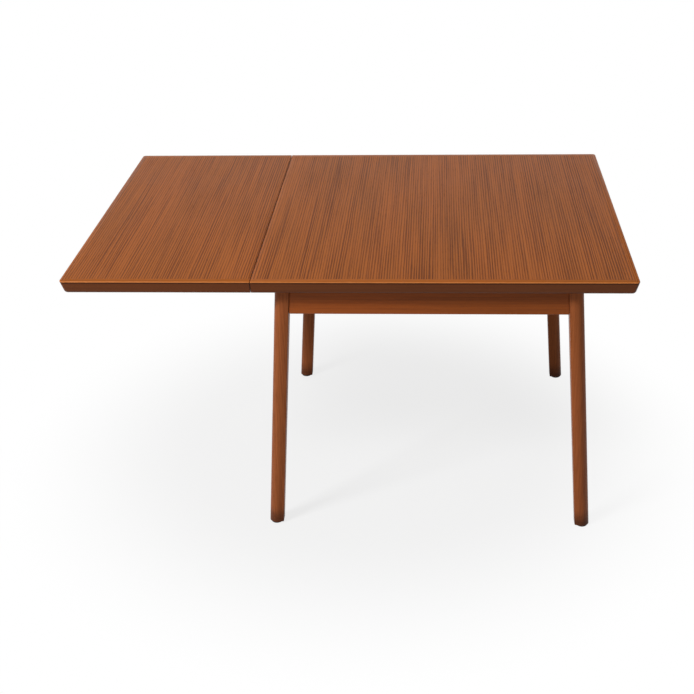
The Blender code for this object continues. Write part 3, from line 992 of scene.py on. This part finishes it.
@dataclass
class TableTop:
    """One half of the top: a veneered panel inside moulded lippings."""

    prefix: str
    body: Body
    open_end: int
    shop: FinishShop
    corner_radius: float = 0.009
    edge_slope: float = 0.0080
    edge_radius: float = 0.007
    arris: float = 0.0028
    seam_arris: float = 0.0014
    seam_steps: int = 3
    border: float = 0.024
    overrun: float = 0.050

    def __post_init__(self) -> None:
        """Read the half's places from its solids."""
        seam = self.prefix + "_seam_lipping"
        self.low_z, self.high_z = ends_of(self.prefix + "_panel", Axis.Z)
        self.half = -end_of(self.prefix + "_front_lipping", Axis.Y, -1)
        self.width = size_of(seam, Axis.X)
        self.outer = end_of(self.prefix + "_end_lipping", Axis.X, self.open_end)
        self.seam = end_of(seam, Axis.X, -self.open_end)

    def slab(self) -> Piece:
        """The moulded half before it is parted: round corners, sloped sides and a rounded lower edge.

        Returns:
            The slab, which runs on past the seam.
        """
        low_x, high_x = sorted((self.seam - self.open_end * self.overrun, self.outer))
        slab = add_block(
            self.prefix + "_slab", (low_x, -self.half, self.low_z), (high_x, self.half, self.high_z)
        )
        at_corner = both(lies_at(Axis.X, self.outer), runs_along(Axis.Z))
        round_edges(slab, at_corner, self.corner_radius, FINE_STEPS)
        length, depth = high_x - low_x, 2 * self.half
        with editing(slab):
            pick(slab, Part.FACES, lies_at(Axis.Z, self.low_z))
            bpy.ops.transform.resize(
                value=(1 - 2 * self.edge_slope / length, 1 - 2 * self.edge_slope / depth, 1),
                center_override=((low_x + high_x) / 2, 0, self.low_z),
            )
        round_edges(slab, lies_at(Axis.Z, self.low_z), self.edge_radius, FINE_STEPS)
        round_edges(slab, lies_at(Axis.Z, self.high_z), self.arris)
        return slab

    def cuts(self) -> dict[str, list[Plane]]:
        """How the slab is parted.

        Returns:
            For each piece the planes that part it off; what a plane's normal points to is dropped.
        """
        way = self.open_end
        inner_y = self.half - self.width
        seam_inside, end_inside = self.seam + way * self.width, self.outer - way * self.width
        seam = ((self.seam, 0, 0), (-way, 0, 0))
        lippings, flanks, mitres = {}, [], []
        for side in Side:
            out = side.value
            flank, corner = (0, out * inner_y, 0), (self.outer, out * self.half, 0)
            lippings[side.label + "_lipping"] = [(flank, (0, -out, 0)), seam, (corner, (way, -out, 0))]
            flanks.append((flank, (0, out, 0)))
            mitres.append((corner, (-way, out, 0)))
        return {
            **lippings,
            "end_lipping": [((end_inside, 0, 0), (-way, 0, 0)), *mitres],
            "seam_lipping": [seam, ((seam_inside, 0, 0), (way, 0, 0)), *flanks],
            "panel": [((seam_inside, 0, 0), (-way, 0, 0)), ((end_inside, 0, 0), (way, 0, 0)), *flanks],
        }

    def build(self) -> None:
        """Part the slab into panel and lippings and dress them."""
        slab = self.slab()
        woods = {"panel": VENEER, "end_lipping": END_LIPPING, "seam_lipping": END_LIPPING}
        at_seam = both(lies_at(Axis.X, self.seam), lies_at(Axis.Z, self.high_z))
        for name, planes in self.cuts().items():
            piece = copy_piece(slab, f"{self.prefix}_{name}_wood")
            for point, normal in planes:
                slice_off(piece, point, normal)
            finish = woods.get(name, LIPPING)
            if finish.backing:
                self.sink_backing(piece, finish.backing.recess)
            else:
                round_edges(piece, at_seam, self.seam_arris, self.seam_steps)
            grain = Grain.ALONG_X if finish is LIPPING else Grain.ALONG_Y
            self.shop.dress(piece, self.body, finish, f"{self.prefix}_{name}", grain=grain)
        discard(slab)

    def sink_backing(self, panel: Piece, recess: float) -> None:
        """Sink the backing into a panel's underside, inside a border.

        Args:
            panel: The panel.
            recess: How deep the backing lies.
        """
        with editing(panel):
            pick(panel, Part.FACES, lies_at(Axis.Z, self.low_z))
            bpy.ops.mesh.inset(thickness=self.border)
            bpy.ops.mesh.inset(thickness=recess, depth=-recess)


@dataclass
class Leg:
    """A splayed, tapered leg with a D section, bored for its insert."""

    corner: str
    body: Body
    inward: int
    shop: FinishShop
    top_width: float = 0.036
    top_depth: float = 0.046
    foot_width: float = 0.037
    foot_depth: float = 0.036
    flat: float = 0.011
    flat_edge: float = 0.0045
    flat_steps: int = 6
    sides: int = 96
    foot_flat_share: float = 0.76
    foot_round_reach: float = 0.024
    foot_edge: float = 0.0012
    bore_clearance: float = 0.0003
    bore_spare_share: float = 1 / 3

    def __post_init__(self) -> None:
        """Read the leg's ends from its solid, and where its flat inner face is at each end."""
        self.node = self.corner + "_leg"
        self.low_z, self.high_z = ends_of(self.node, Axis.Z)
        self.y = middle_of(self.node).y
        self.top_face = end_of(self.node, Axis.X, self.inward)
        self.foot_face = end_of(self.node, Axis.X, -self.inward) + self.inward * self.foot_width

    def flat_at(self, z: float) -> float:
        """The X of the leg's flat inner face at a height."""
        share = (z - self.low_z) / (self.high_z - self.low_z)
        return self.foot_face + (self.top_face - self.foot_face) * share

    def lean_end(self, board: Piece, place: float, low_z: float, high_z: float) -> None:
        """Lean a board's square end to follow the leg's flat face.

        Args:
            board: The board.
            place: The X of its end.
            low_z: The height of its lower edge.
            high_z: The height of its upper edge.
        """
        with editing(board):
            pick(board, Part.EDGES, both(lies_at(Axis.X, place), lies_at(Axis.Z, high_z)))
            bpy.ops.transform.translate(value=(self.flat_at(high_z) - self.flat_at(low_z), 0, 0))

    def build(self) -> None:
        """Model the leg and dress it."""
        radius = self.top_width - self.flat
        centre = (self.top_face - self.inward * self.flat, self.y, 0)
        leg = add_post(self.corner + "_turned_leg", centre, self.low_z, self.high_z, radius, self.sides)
        with editing(leg):
            bpy.ops.mesh.select_all(action="SELECT")
            bpy.ops.transform.resize(value=(1, self.top_depth / 2 / radius, 1), center_override=centre)
        slice_off(leg, (self.top_face, 0, 0), (self.inward, 0, 0))
        on_flat = both(lies_at(Axis.X, self.top_face), runs_along(Axis.Z))
        round_edges(leg, on_flat, self.flat_edge, self.flat_steps)
        at_foot = lies_at(Axis.Z, self.low_z)
        with editing(leg):
            pick(leg, Part.VERTS, at_foot)
            bpy.ops.transform.resize(
                value=(self.foot_width / self.top_width, self.foot_depth / self.top_depth, 1),
                center_override=(self.top_face, self.y, self.low_z),
            )
            bpy.ops.transform.translate(value=(self.foot_face - self.top_face, 0, 0))
            pick(leg, Part.VERTS, both(at_foot, lies_at(Axis.X, self.foot_face)))
            bpy.ops.transform.resize(
                value=(1, self.foot_flat_share, 1),
                center_override=(self.foot_face, self.y, self.low_z),
                use_proportional_edit=True,
                proportional_edit_falloff="SMOOTH",
                proportional_size=self.foot_round_reach,
            )
        round_edges(leg, at_foot, self.foot_edge)
        insert = self.corner + "_insert"
        bore_top = end_of(insert, Axis.Z, 1) + self.foot_width * self.bore_spare_share
        bore_radius = size_of(insert, Axis.X) / 2 + self.bore_clearance
        bore = add_post("bore", middle_of(insert), 0, bore_top, bore_radius)
        combine(leg, bore, "DIFFERENCE")
        self.shop.dress(leg, self.body, LEG_WOOD, self.node, grain=Grain.ALONG_Z)


@dataclass
class Glides:
    """The levelling glides: a nylon pad with a threaded stud, modelled once and copied."""

    shop: FinishShop
    pad_height: float = 0.004
    pad_edge: float = 0.0012
    rim_share: float = 0.9
    stud_radius: float = 0.004
    thread_pitch: float = 0.00125
    thread_depth: float = 0.0005

    def pattern(self, node: str) -> Piece:
        """Model one glide.

        Args:
            node: The solid that it is modelled over.

        Returns:
            The glide.
        """
        low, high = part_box(node)
        middle, radius = middle_of(node), size_of(node, Axis.X) / 2
        top = low.z + self.pad_height
        pattern = add_post("glide_pattern", middle, low.z, top, radius)
        turns = int((high.z - top) / self.thread_pitch)
        root = (self.stud_radius - self.thread_depth) / self.stud_radius
        with editing(pattern):
            pick(pattern, Part.FACES, lies_at(Axis.Z, top))
            bpy.ops.mesh.inset(thickness=radius - self.stud_radius + self.thread_depth)
            for size in (1 / root, root) * turns:
                bpy.ops.mesh.extrude_region_move(
                    TRANSFORM_OT_translate={"value": (0, 0, self.thread_pitch / 2)}
                )
                bpy.ops.transform.resize(value=(size, size, 1), center_override=(middle.x, middle.y, top))
        at_low, at_top = lies_at(Axis.Z, low.z), lies_at(Axis.Z, top)
        wide = self.rim_share * radius

        def outer_rim(edge: bmesh.types.BMEdge) -> bool:
            """Whether an edge is on the pad's outer rim."""
            away = all((vert.co.xy - middle.xy).length > wide for vert in edge.verts)
            return away and (at_low(edge) or at_top(edge))

        round_edges(pattern, outer_rim, self.pad_edge)
        return pattern

    def build(self) -> None:
        """Put a copy of one glide under each foot."""
        first = "front_left_glide"
        pattern = self.pattern(first)
        for body in FEET:
            corner = body.value.removesuffix("_foot")
            node = corner + "_glide"
            move = Matrix.Translation(middle_of(node) - middle_of(first))
            glide = copy_piece(pattern, corner + "_threaded_glide", move)
            self.shop.dress(glide, body, NYLON, node)
        discard(pattern)


@dataclass
class Screws:
    """Countersunk cross-head screws, modelled once and copied."""

    shop: FinishShop
    head_radius: float = 0.0034
    head_height: float = 0.0012
    proud_share: float = 0.25
    head_sides: int = 28
    head_edge: float = 0.00048
    head_steps: int = 3
    slot_width: float = 0.0009
    slot_length: float = 0.0040
    first_turn: float = 0.3
    next_turn: float = 0.7

    def __post_init__(self) -> None:
        """Model the screw head, facing down, with its middle at the origin."""
        self.half = self.head_height / 2
        self.proud = self.head_height * self.proud_share
        self.pattern = add_post(
            "screw_head", (0, 0), -self.half, self.half, self.head_radius, self.head_sides
        )
        round_edges(self.pattern, lies_at(Axis.Z, -self.half), self.head_edge, self.head_steps)
        long, wide = self.slot_length / 2, self.slot_width / 2
        for x, y in ((long, wide), (wide, long)):
            slot = add_block("slot", (-x, -y, -self.head_height), (x, y, 0))
            combine(self.pattern, slot, "DIFFERENCE")

    def drive(self, name: str, body: Body, places: Sequence[Point], facing: Point = DOWN) -> None:
        """Put a set of screws in place as one piece.

        Args:
            name: The set's name.
            body: The body that it rides on.
            places: The middle of each head.
            facing: The way the heads face.
        """
        turn = Vector(DOWN).rotation_difference(Vector(facing)).to_matrix().to_4x4()
        heads = []
        for number, place in enumerate(places):
            spin = Matrix.Rotation(self.first_turn + self.next_turn * number, 4, "Z")
            move = Matrix.Translation(Vector(place)) @ turn @ spin
            heads.append(copy_piece(self.pattern, f"{name}_{number}", move))
        self.shop.dress(merge(name, heads), body, STEEL)

    def put_away(self) -> None:
        """Remove the pattern."""
        discard(self.pattern)


@dataclass
class WoodFrame:
    """What both frames have: plain boards, screws, and legs that some of the boards meet."""

    shop: FinishShop
    screws: Screws
    legs: dict[str, Leg]
    body: Body
    ending: str
    inner_edge: float = 0.0012

    def board(self, node: str, finish: WoodFinish, grain: Grain, edge: float) -> None:
        """A plain board with eased edges.

        Args:
            node: The solid that it stands for.
            finish: Its wood.
            grain: The way its grain runs.
            edge: How far its edges are rounded.
        """
        board = add_block(node + self.ending, *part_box(node))
        soften(board, edge)
        self.shop.dress(board, self.body, finish, node, grain=grain)


@dataclass
class FixedFrame(WoodFrame):
    """Aprons, cross rail, guides, corner blocks and cleats under the main top."""

    body: Body = Body.TABLE
    ending: str = "_board"
    apron_edge: float = 0.0018
    runner_edge: float = 0.0006
    cleat_thickness: float = 0.0020
    cleat_edge: float = 0.0004
    cleat_steps: int = 2
    cleat_inset: float = 0.008

    def apron(self, side: Side) -> None:
        """A long apron whose ends follow the legs.

        Args:
            side: Its side of the table.
        """
        node = side.label + "_apron"
        low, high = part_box(node)
        apron = add_block(node + self.ending, low, high)
        for corner, place in (("front_left", low.x), ("front_right", high.x)):
            self.legs[corner].lean_end(apron, place, low.z, high.z)
        soften(apron, self.apron_edge)
        self.shop.dress(apron, self.body, FRAME_WOOD, node, grain=Grain.ALONG_X)

    def corner_block(self, side: Side) -> None:
        """A glued block across a right-hand corner, with a pocket for the leg.

        Args:
            side: Its side of the table.
        """
        node = side.label + "_right_corner_block"
        low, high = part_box(node)
        outer_y = end_of(node, Axis.Y, side.value)
        leg_x = self.legs["front_right"].top_face
        notch = high.x - leg_x
        corner = add_block(node + "_wood", low, high)
        slice_off(corner, (low.x, outer_y, 0), (-1, -side.value, 0))
        near, far = sorted((outer_y + side.value * notch, outer_y - 2 * side.value * notch))
        pocket = add_block("pocket", (leg_x, near, low.z - notch), (high.x + notch, far, high.z + notch))
        combine(corner, pocket, "DIFFERENCE")
        soften(corner, self.inner_edge)
        self.shop.dress(corner, self.body, INNER_WOOD, node, grain=Grain.ALONG_X)

    def cleat(self, node: str, facing: int) -> None:
        """A steel angle with its screws.

        Args:
            node: The solid that it stands for.
            facing: The side of the rail that it is on, 1 for +X.
        """
        low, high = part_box(node)
        middle = middle_of(node)
        thick = self.cleat_thickness
        back = end_of(node, Axis.X, -facing)
        bend, under = back + facing * thick, high.z - thick
        angle = add_block(node + "_angle", (low.x, low.y, under), high)
        with editing(angle):
            bpy.ops.mesh.select_all(action="SELECT")
            bpy.ops.mesh.bisect(plane_co=(bend, 0, 0), plane_no=(1, 0, 0))
            at_back = both(
                lies_at(Axis.Z, under), lambda face: abs(face.calc_center_median().x - back) < thick
            )
            pick(angle, Part.FACES, at_back)
            bpy.ops.mesh.extrude_region_move(TRANSFORM_OT_translate={"value": (0, 0, low.z - under)})
        soften(angle, self.cleat_edge, self.cleat_steps)
        self.shop.dress(angle, self.body, STEEL, node)
        ends = (low.y + self.cleat_inset, high.y - self.cleat_inset)
        spots = [(middle.x + facing * thick, y, under - self.screws.half) for y in ends]
        self.screws.drive(node + "_top_screws", self.body, spots)
        spot = (bend + facing * self.screws.half, middle.y, middle.z - thick)
        self.screws.drive(node + "_rail_screw", self.body, [spot], (facing, 0, 0))

    def build(self) -> None:
        """Model and dress the frame."""
        for side in Side:
            self.apron(side)
            self.board(side.label + "_guide_board", INNER_WOOD, Grain.ALONG_X, self.inner_edge)
            self.board(side.label + "_runner", INNER_WOOD, Grain.ALONG_X, self.runner_edge)
            self.corner_block(side)
            self.cleat(side.label + "_cross_rail_cleat", 1)
            self.cleat(side.label + "_right_apron_cleat", -1)
        self.board("right_apron", FRAME_WOOD, Grain.ALONG_Y, self.apron_edge)
        self.board("fixed_cross_rail", INNER_WOOD, Grain.ALONG_Y, self.inner_edge)


@dataclass
class SlidingFrame(WoodFrame):
    """The rails, end rail, gussets and stops that slide with the left legs."""

    body: Body = Body.LEG_FRAME
    ending: str = "_wood"
    rail_height: float = 0.027
    head_length: float = 0.024
    cove_radius: float = 0.020
    cove_steps: int = 12
    groove_height: float = 0.009
    groove_depth: float = 0.0078
    groove_setback: float = 0.054
    rail_edge: float = 0.0016
    screw_shares: Point = (0.22, 0.62)
    screw_inset: float = 0.12

    def rail(self, side: Side) -> None:
        """A sliding rail: a raised head with a cove, and a groove inside.

        Args:
            side: Its side of the table.
        """
        node = side.label + "_slide_rail"
        low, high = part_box(node)
        leg = self.legs["front_left"]
        start, head = leg.flat_at(low.z), leg.flat_at(high.z) + self.head_length
        rail = add_block(node + self.ending, (start, low.y, low.z), high)
        leg.lean_end(rail, start, low.z, high.z)
        top = low.z + self.rail_height
        spare = self.cove_radius
        waste = add_block(
            "waste", (head, low.y - spare, top), (high.x + spare, high.y + spare, high.z + spare)
        )
        cove = both(lies_at(Axis.X, head), lies_at(Axis.Z, top))
        round_edges(waste, cove, self.cove_radius, self.cove_steps)
        combine(rail, waste, "DIFFERENCE")
        inner = end_of(node, Axis.Y, -side.value)
        near, far = sorted((inner - side.value * spare, inner + side.value * self.groove_depth))
        groove_x = leg.flat_at(high.z) + self.groove_setback
        middle, half = (low.z + top) / 2, self.groove_height / 2
        groove = add_block("groove", (groove_x, near, middle - half), (high.x + spare, far, middle + half))
        combine(rail, groove, "DIFFERENCE")
        soften(rail, self.rail_edge)
        self.shop.dress(rail, self.body, FRAME_WOOD, node, grain=Grain.ALONG_X)

    def gusset(self, side: Side) -> None:
        """A three-cornered block between rail and end rail, with its screws.

        Args:
            side: Its side of the table.
        """
        node = side.label + "_left_gusset"
        low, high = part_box(node)
        gusset = add_block(node + self.ending, low, high)
        far = end_of(node, Axis.Y, side.value)
        slice_off(gusset, (high.x, far, 0), (1, -side.value, 0))
        soften(gusset, self.inner_edge)
        self.shop.dress(gusset, self.body, INNER_WOOD, node, grain=Grain.ALONG_X)
        length, z = size_of(node, Axis.X), low.z - self.screws.proud
        spots = []
        for share in self.screw_shares:
            across = (1 - share - self.screw_inset) * length
            spots.append((low.x + share * length, far - side.value * across, z))
        self.screws.drive(node + "_screws", self.body, spots)

    def build(self) -> None:
        """Model and dress the frame."""
        for side in Side:
            self.rail(side)
            self.gusset(side)
            self.board(side.label + "_stop_block", INNER_WOOD, Grain.ALONG_X, self.inner_edge)
        self.board("left_end_rail", FRAME_WOOD, Grain.ALONG_Y, self.rail_edge)


@dataclass
class Hinge:
    """A butt hinge: two plates with knuckles and screws, round a pin."""

    name: str
    shop: FinishShop
    screws: Screws
    knuckle_radius: float = 0.0036
    plate_thickness: float = 0.0016
    plate_corner: float = 0.004
    corner_steps: int = 6
    relief: float = 0.0046
    knuckle_gap: float = 0.0004
    screw_spots: Sequence[Point] = ((0.42, -0.32), (0.76, 0.0), (0.42, 0.32))

    def plate(self, kind: str, body: Body, way: int, knuckles: Sequence[Point]) -> None:
        """One plate with its knuckles and screws.

        Args:
            kind: Which plate, main or leaf.
            body: The body that it rides on.
            way: The side of the seam that it lies on.
            knuckles: The span of each knuckle from the plate's middle.
        """
        node, pin = f"{self.name}_hinge_{kind}_plate", self.name + "_hinge_pin"
        low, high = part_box(node)
        axis = middle_of(pin)
        far = end_of(node, Axis.X, way)
        under = high.z - self.plate_thickness
        near_x, far_x = sorted((axis.x + way * self.relief, far))
        plate = add_block(node + "_steel", (near_x, low.y, under), (far_x, high.y, high.z))
        at_corner = both(lies_at(Axis.X, far), runs_along(Axis.Z))
        round_edges(plate, at_corner, self.plate_corner, self.corner_steps)
        near_x, far_x = sorted((axis.x, axis.x + 2 * way * self.relief))
        for start, end in ((axis.y + start, axis.y + end) for start, end in knuckles):
            tab = add_block("tab", (near_x, start, under), (far_x, end, high.z - self.knuckle_gap))
            combine(plate, tab, "UNION")
            barrel = add_rod("barrel", (axis.x, start, axis.z), (axis.x, end, axis.z), self.knuckle_radius)
            combine(plate, barrel, "UNION")
        length = size_of(node, Axis.Y)
        start, end = (axis.x, low.y - length, axis.z), (axis.x, high.y + length, axis.z)
        bore = add_rod("bore", start, end, size_of(pin, Axis.X) / 2 + self.knuckle_gap / 2)
        combine(plate, bore, "DIFFERENCE")
        self.shop.dress(plate, body, STEEL, node)
        reach, z = abs(far - axis.x), under - self.screws.proud
        spots = [
            (axis.x + way * reach * along, axis.y + across * length, z) for along, across in self.screw_spots
        ]
        self.screws.drive(node + "_screws", body, spots)

    def build(self) -> None:
        """Model both plates; the pin's solid is dressed as it is."""
        half = size_of(f"{self.name}_hinge_main_plate", Axis.Y) / 2
        third, gap = half / 3, self.knuckle_gap / 2
        self.plate("main", Body.TABLE, 1, ((-half, -third - gap), (third + gap, half)))
        self.plate("leaf", Body.LEAF, -1, ((-third + gap, third - gap),))


@dataclass
class Bumper:
    """A rubber dome under the leaf."""

    side: Side
    shop: FinishShop
    dome_share: float = 0.6

    def build(self) -> None:
        """Model the dome and dress it."""
        node = self.side.label + "_leaf_bumper"
        low, high = ends_of(node, Axis.Z)
        dome = add_post(node + "_dome", middle_of(node), low, high, size_of(node, Axis.X) / 2)
        round_edges(dome, lies_at(Axis.Z, low), (high - low) * self.dome_share, FINE_STEPS)
        self.shop.dress(dome, Body.LEAF, RUBBER, node)


@dataclass(frozen=True)
class Lamp:
    """A square soft light: its place, the point it faces, its side in metres and its power in watts."""

    name: str
    place: Point
    aim: Point
    size: float
    power: float

    def build(self) -> None:
        """Hang the lamp."""
        data = bpy.data.lights.new(self.name, "AREA")
        data.size = self.size
        data.energy = self.power
        lamp = bpy.data.objects.new(self.name, data)
        lamp.location = self.place
        lamp.rotation_euler = (Vector(self.aim) - lamp.location).to_track_quat("-Z", "Y").to_euler()
        bpy.context.scene.collection.objects.link(lamp)


@dataclass
class Studio:
    """Floor, soft light and the camera."""

    floor_size: float = 60.0
    floor_gap: float = 0.0002
    floor_colour: Colour = (0.50, 0.50, 0.50)
    near_glow: float = 0.79
    glow_start: float = 0.45
    glow_full: float = 1.05
    world_light: float = 0.30
    ceiling: float = 0.0
    haze_low: float = 0.30
    haze_high: float = 0.41
    camera_place: Point = (0.2120, -2.9268, 1.8768)
    camera_turn: Point = (-3.395, 26.79, -1.326)
    focal_pixels: float = 1185.0
    camera_shift: Point = (-0.040, -0.040)
    sensor: float = 36.0
    lamps: tuple[Lamp, ...] = (
        Lamp("overhead", place=(-0.6, 1.6, 6.0), aim=(0.0, 0.2, 0.7), size=4.4, power=60.0),
        Lamp("left_window", place=(-3.9, -3.6, 5.0), aim=(0.1, 0.0, 0.4), size=1.6, power=470.0),
    )

    def camera(self) -> None:
        """The photograph's viewpoint: in front, above, and looking down."""
        data = bpy.data.cameras.new("camera")
        data.sensor_width = self.sensor
        data.lens = self.focal_pixels * self.sensor / IMAGE_SIDE
        data.shift_x, data.shift_y = self.camera_shift
        camera = bpy.data.objects.new("camera", data)
        yaw, pitch, roll = (math.radians(angle) for angle in self.camera_turn)
        turn = Matrix.Rotation(-yaw, 4, "Z") @ Matrix.Rotation(math.pi / 2 - pitch, 4, "X")
        camera.rotation_euler = (turn @ Matrix.Rotation(roll, 4, "Z")).to_euler()
        camera.location = self.camera_place
        bpy.context.scene.collection.objects.link(camera)
        bpy.context.scene.camera = camera

    @staticmethod
    def seen(sheet: Sheet) -> tuple[Socket, Socket]:
        """Which rays show the background instead of being lit by it.

        Args:
            sheet: The sheet of the floor or the world.

        Returns:
            1 for rays from the camera or through glass, and 1 for glossy rays.
        """
        path = sheet.add("ShaderNodeLightPath").outputs
        plain = sheet.calc("MAXIMUM", path["Is Camera Ray"], path["Is Transmission Ray"])
        return plain, path["Is Glossy Ray"]

    def floor(self) -> None:
        """A pale floor that keeps the table's shadow and is open from below."""
        bpy.ops.object.select_all(action="DESELECT")
        bpy.ops.mesh.primitive_plane_add(size=self.floor_size, location=(0, 0, -self.floor_gap))
        floor = settle("floor")
        material = bpy.data.materials.new("pale_floor")
        material.use_nodes = True
        sheet = Sheet(material.node_tree)
        sheet.tree.nodes.clear()
        place = sheet.add("ShaderNodeTexCoord").outputs["Object"]
        away = sheet.add("ShaderNodeVectorMath", place, operation="LENGTH").outputs["Value"]
        share = sheet.spread(away, self.glow_start, self.glow_full, self.near_glow, 1.0)
        shown = sheet.calc("MULTIPLY", sheet.calc("MAXIMUM", *self.seen(sheet)), share)
        matt = sheet.add("ShaderNodeBsdfDiffuse", (*self.floor_colour, 1.0)).outputs[0]
        glow = sheet.add("ShaderNodeEmission").outputs[0]
        above = sheet.add("ShaderNodeMixShader", shown, matt, glow).outputs[0]
        from_below = sheet.add("ShaderNodeNewGeometry").outputs["Backfacing"]
        clear = sheet.add("ShaderNodeBsdfTransparent").outputs[0]
        shader = sheet.add("ShaderNodeMixShader", from_below, above, clear).outputs[0]
        sheet.add("ShaderNodeOutputMaterial", shader)
        floor.data.materials.append(material)

    def world(self) -> None:
        """Even light all round; it looks white, and gloss finds it darker overhead."""
        world = bpy.data.worlds.new("studio")
        world.use_nodes = True
        sheet = Sheet(world.node_tree)
        height = sheet.calc("ABSOLUTE", sheet.split(sheet.add("ShaderNodeTexCoord").outputs["Normal"])[2])
        mirrored = sheet.spread(height, self.haze_low, self.haze_high, 1.0, self.ceiling)
        plain, glossy = self.seen(sheet)
        white = sheet.blend(plain, self.world_light, 1.0)
        dimmed = sheet.calc("SUBTRACT", mirrored, self.world_light)
        back = sheet.tree.nodes["Background"]
        back.inputs["Color"].default_value = WHITE
        sheet.feed(back.inputs["Strength"], sheet.calc("MULTIPLY_ADD", glossy, dimmed, white))
        bpy.context.scene.world = world

    def build(self) -> None:
        """Set the studio up."""
        bpy.context.scene.view_settings.view_transform = "Standard"
        self.camera()
        self.world()
        self.floor()
        for lamp in self.lamps:
            lamp.build()


def dress_solids(nodes: dict[str, Piece], shop: FinishShop) -> None:
    """Give the solids that still show a full material.

    Args:
        nodes: The solids, by name.
        shop: The finishes.
    """
    finishes = {"_pin": STEEL, "_leg_bolt": STEEL, "_insert": BRASS}
    for name, solid in nodes.items():
        for ending, finish in finishes.items():
            if name.endswith(ending):
                shop.coat(solid, finish)
                LOG.info("%s keeps its solid", name)


def main() -> None:
    """Build the studio and the table."""
    logging.basicConfig(level=logging.INFO, format="%(name)s: %(message)s")
    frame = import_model()
    Studio().build()
    shop = FinishShop()
    TableTop("main", Body.TABLE, 1, shop).build()
    TableTop("leaf", Body.LEAF, -1, shop).build()
    legs: dict[str, Leg] = {}
    for side in Side:
        for end, body, inward in (("left", Body.LEG_FRAME, 1), ("right", Body.TABLE, -1)):
            corner = f"{side.label}_{end}"
            legs[corner] = Leg(corner, body, inward, shop)
            legs[corner].build()
    Glides(shop).build()
    screws = Screws(shop)
    FixedFrame(shop, screws, legs).build()
    SlidingFrame(shop, screws, legs).build()
    for name in ("front", "middle", "rear"):
        Hinge(name, shop, screws).build()
    for side in Side:
        Bumper(side, shop).build()
    screws.put_away()
    dress_solids(frame["nodes"], shop)


if __name__ == "__main__":
    main()
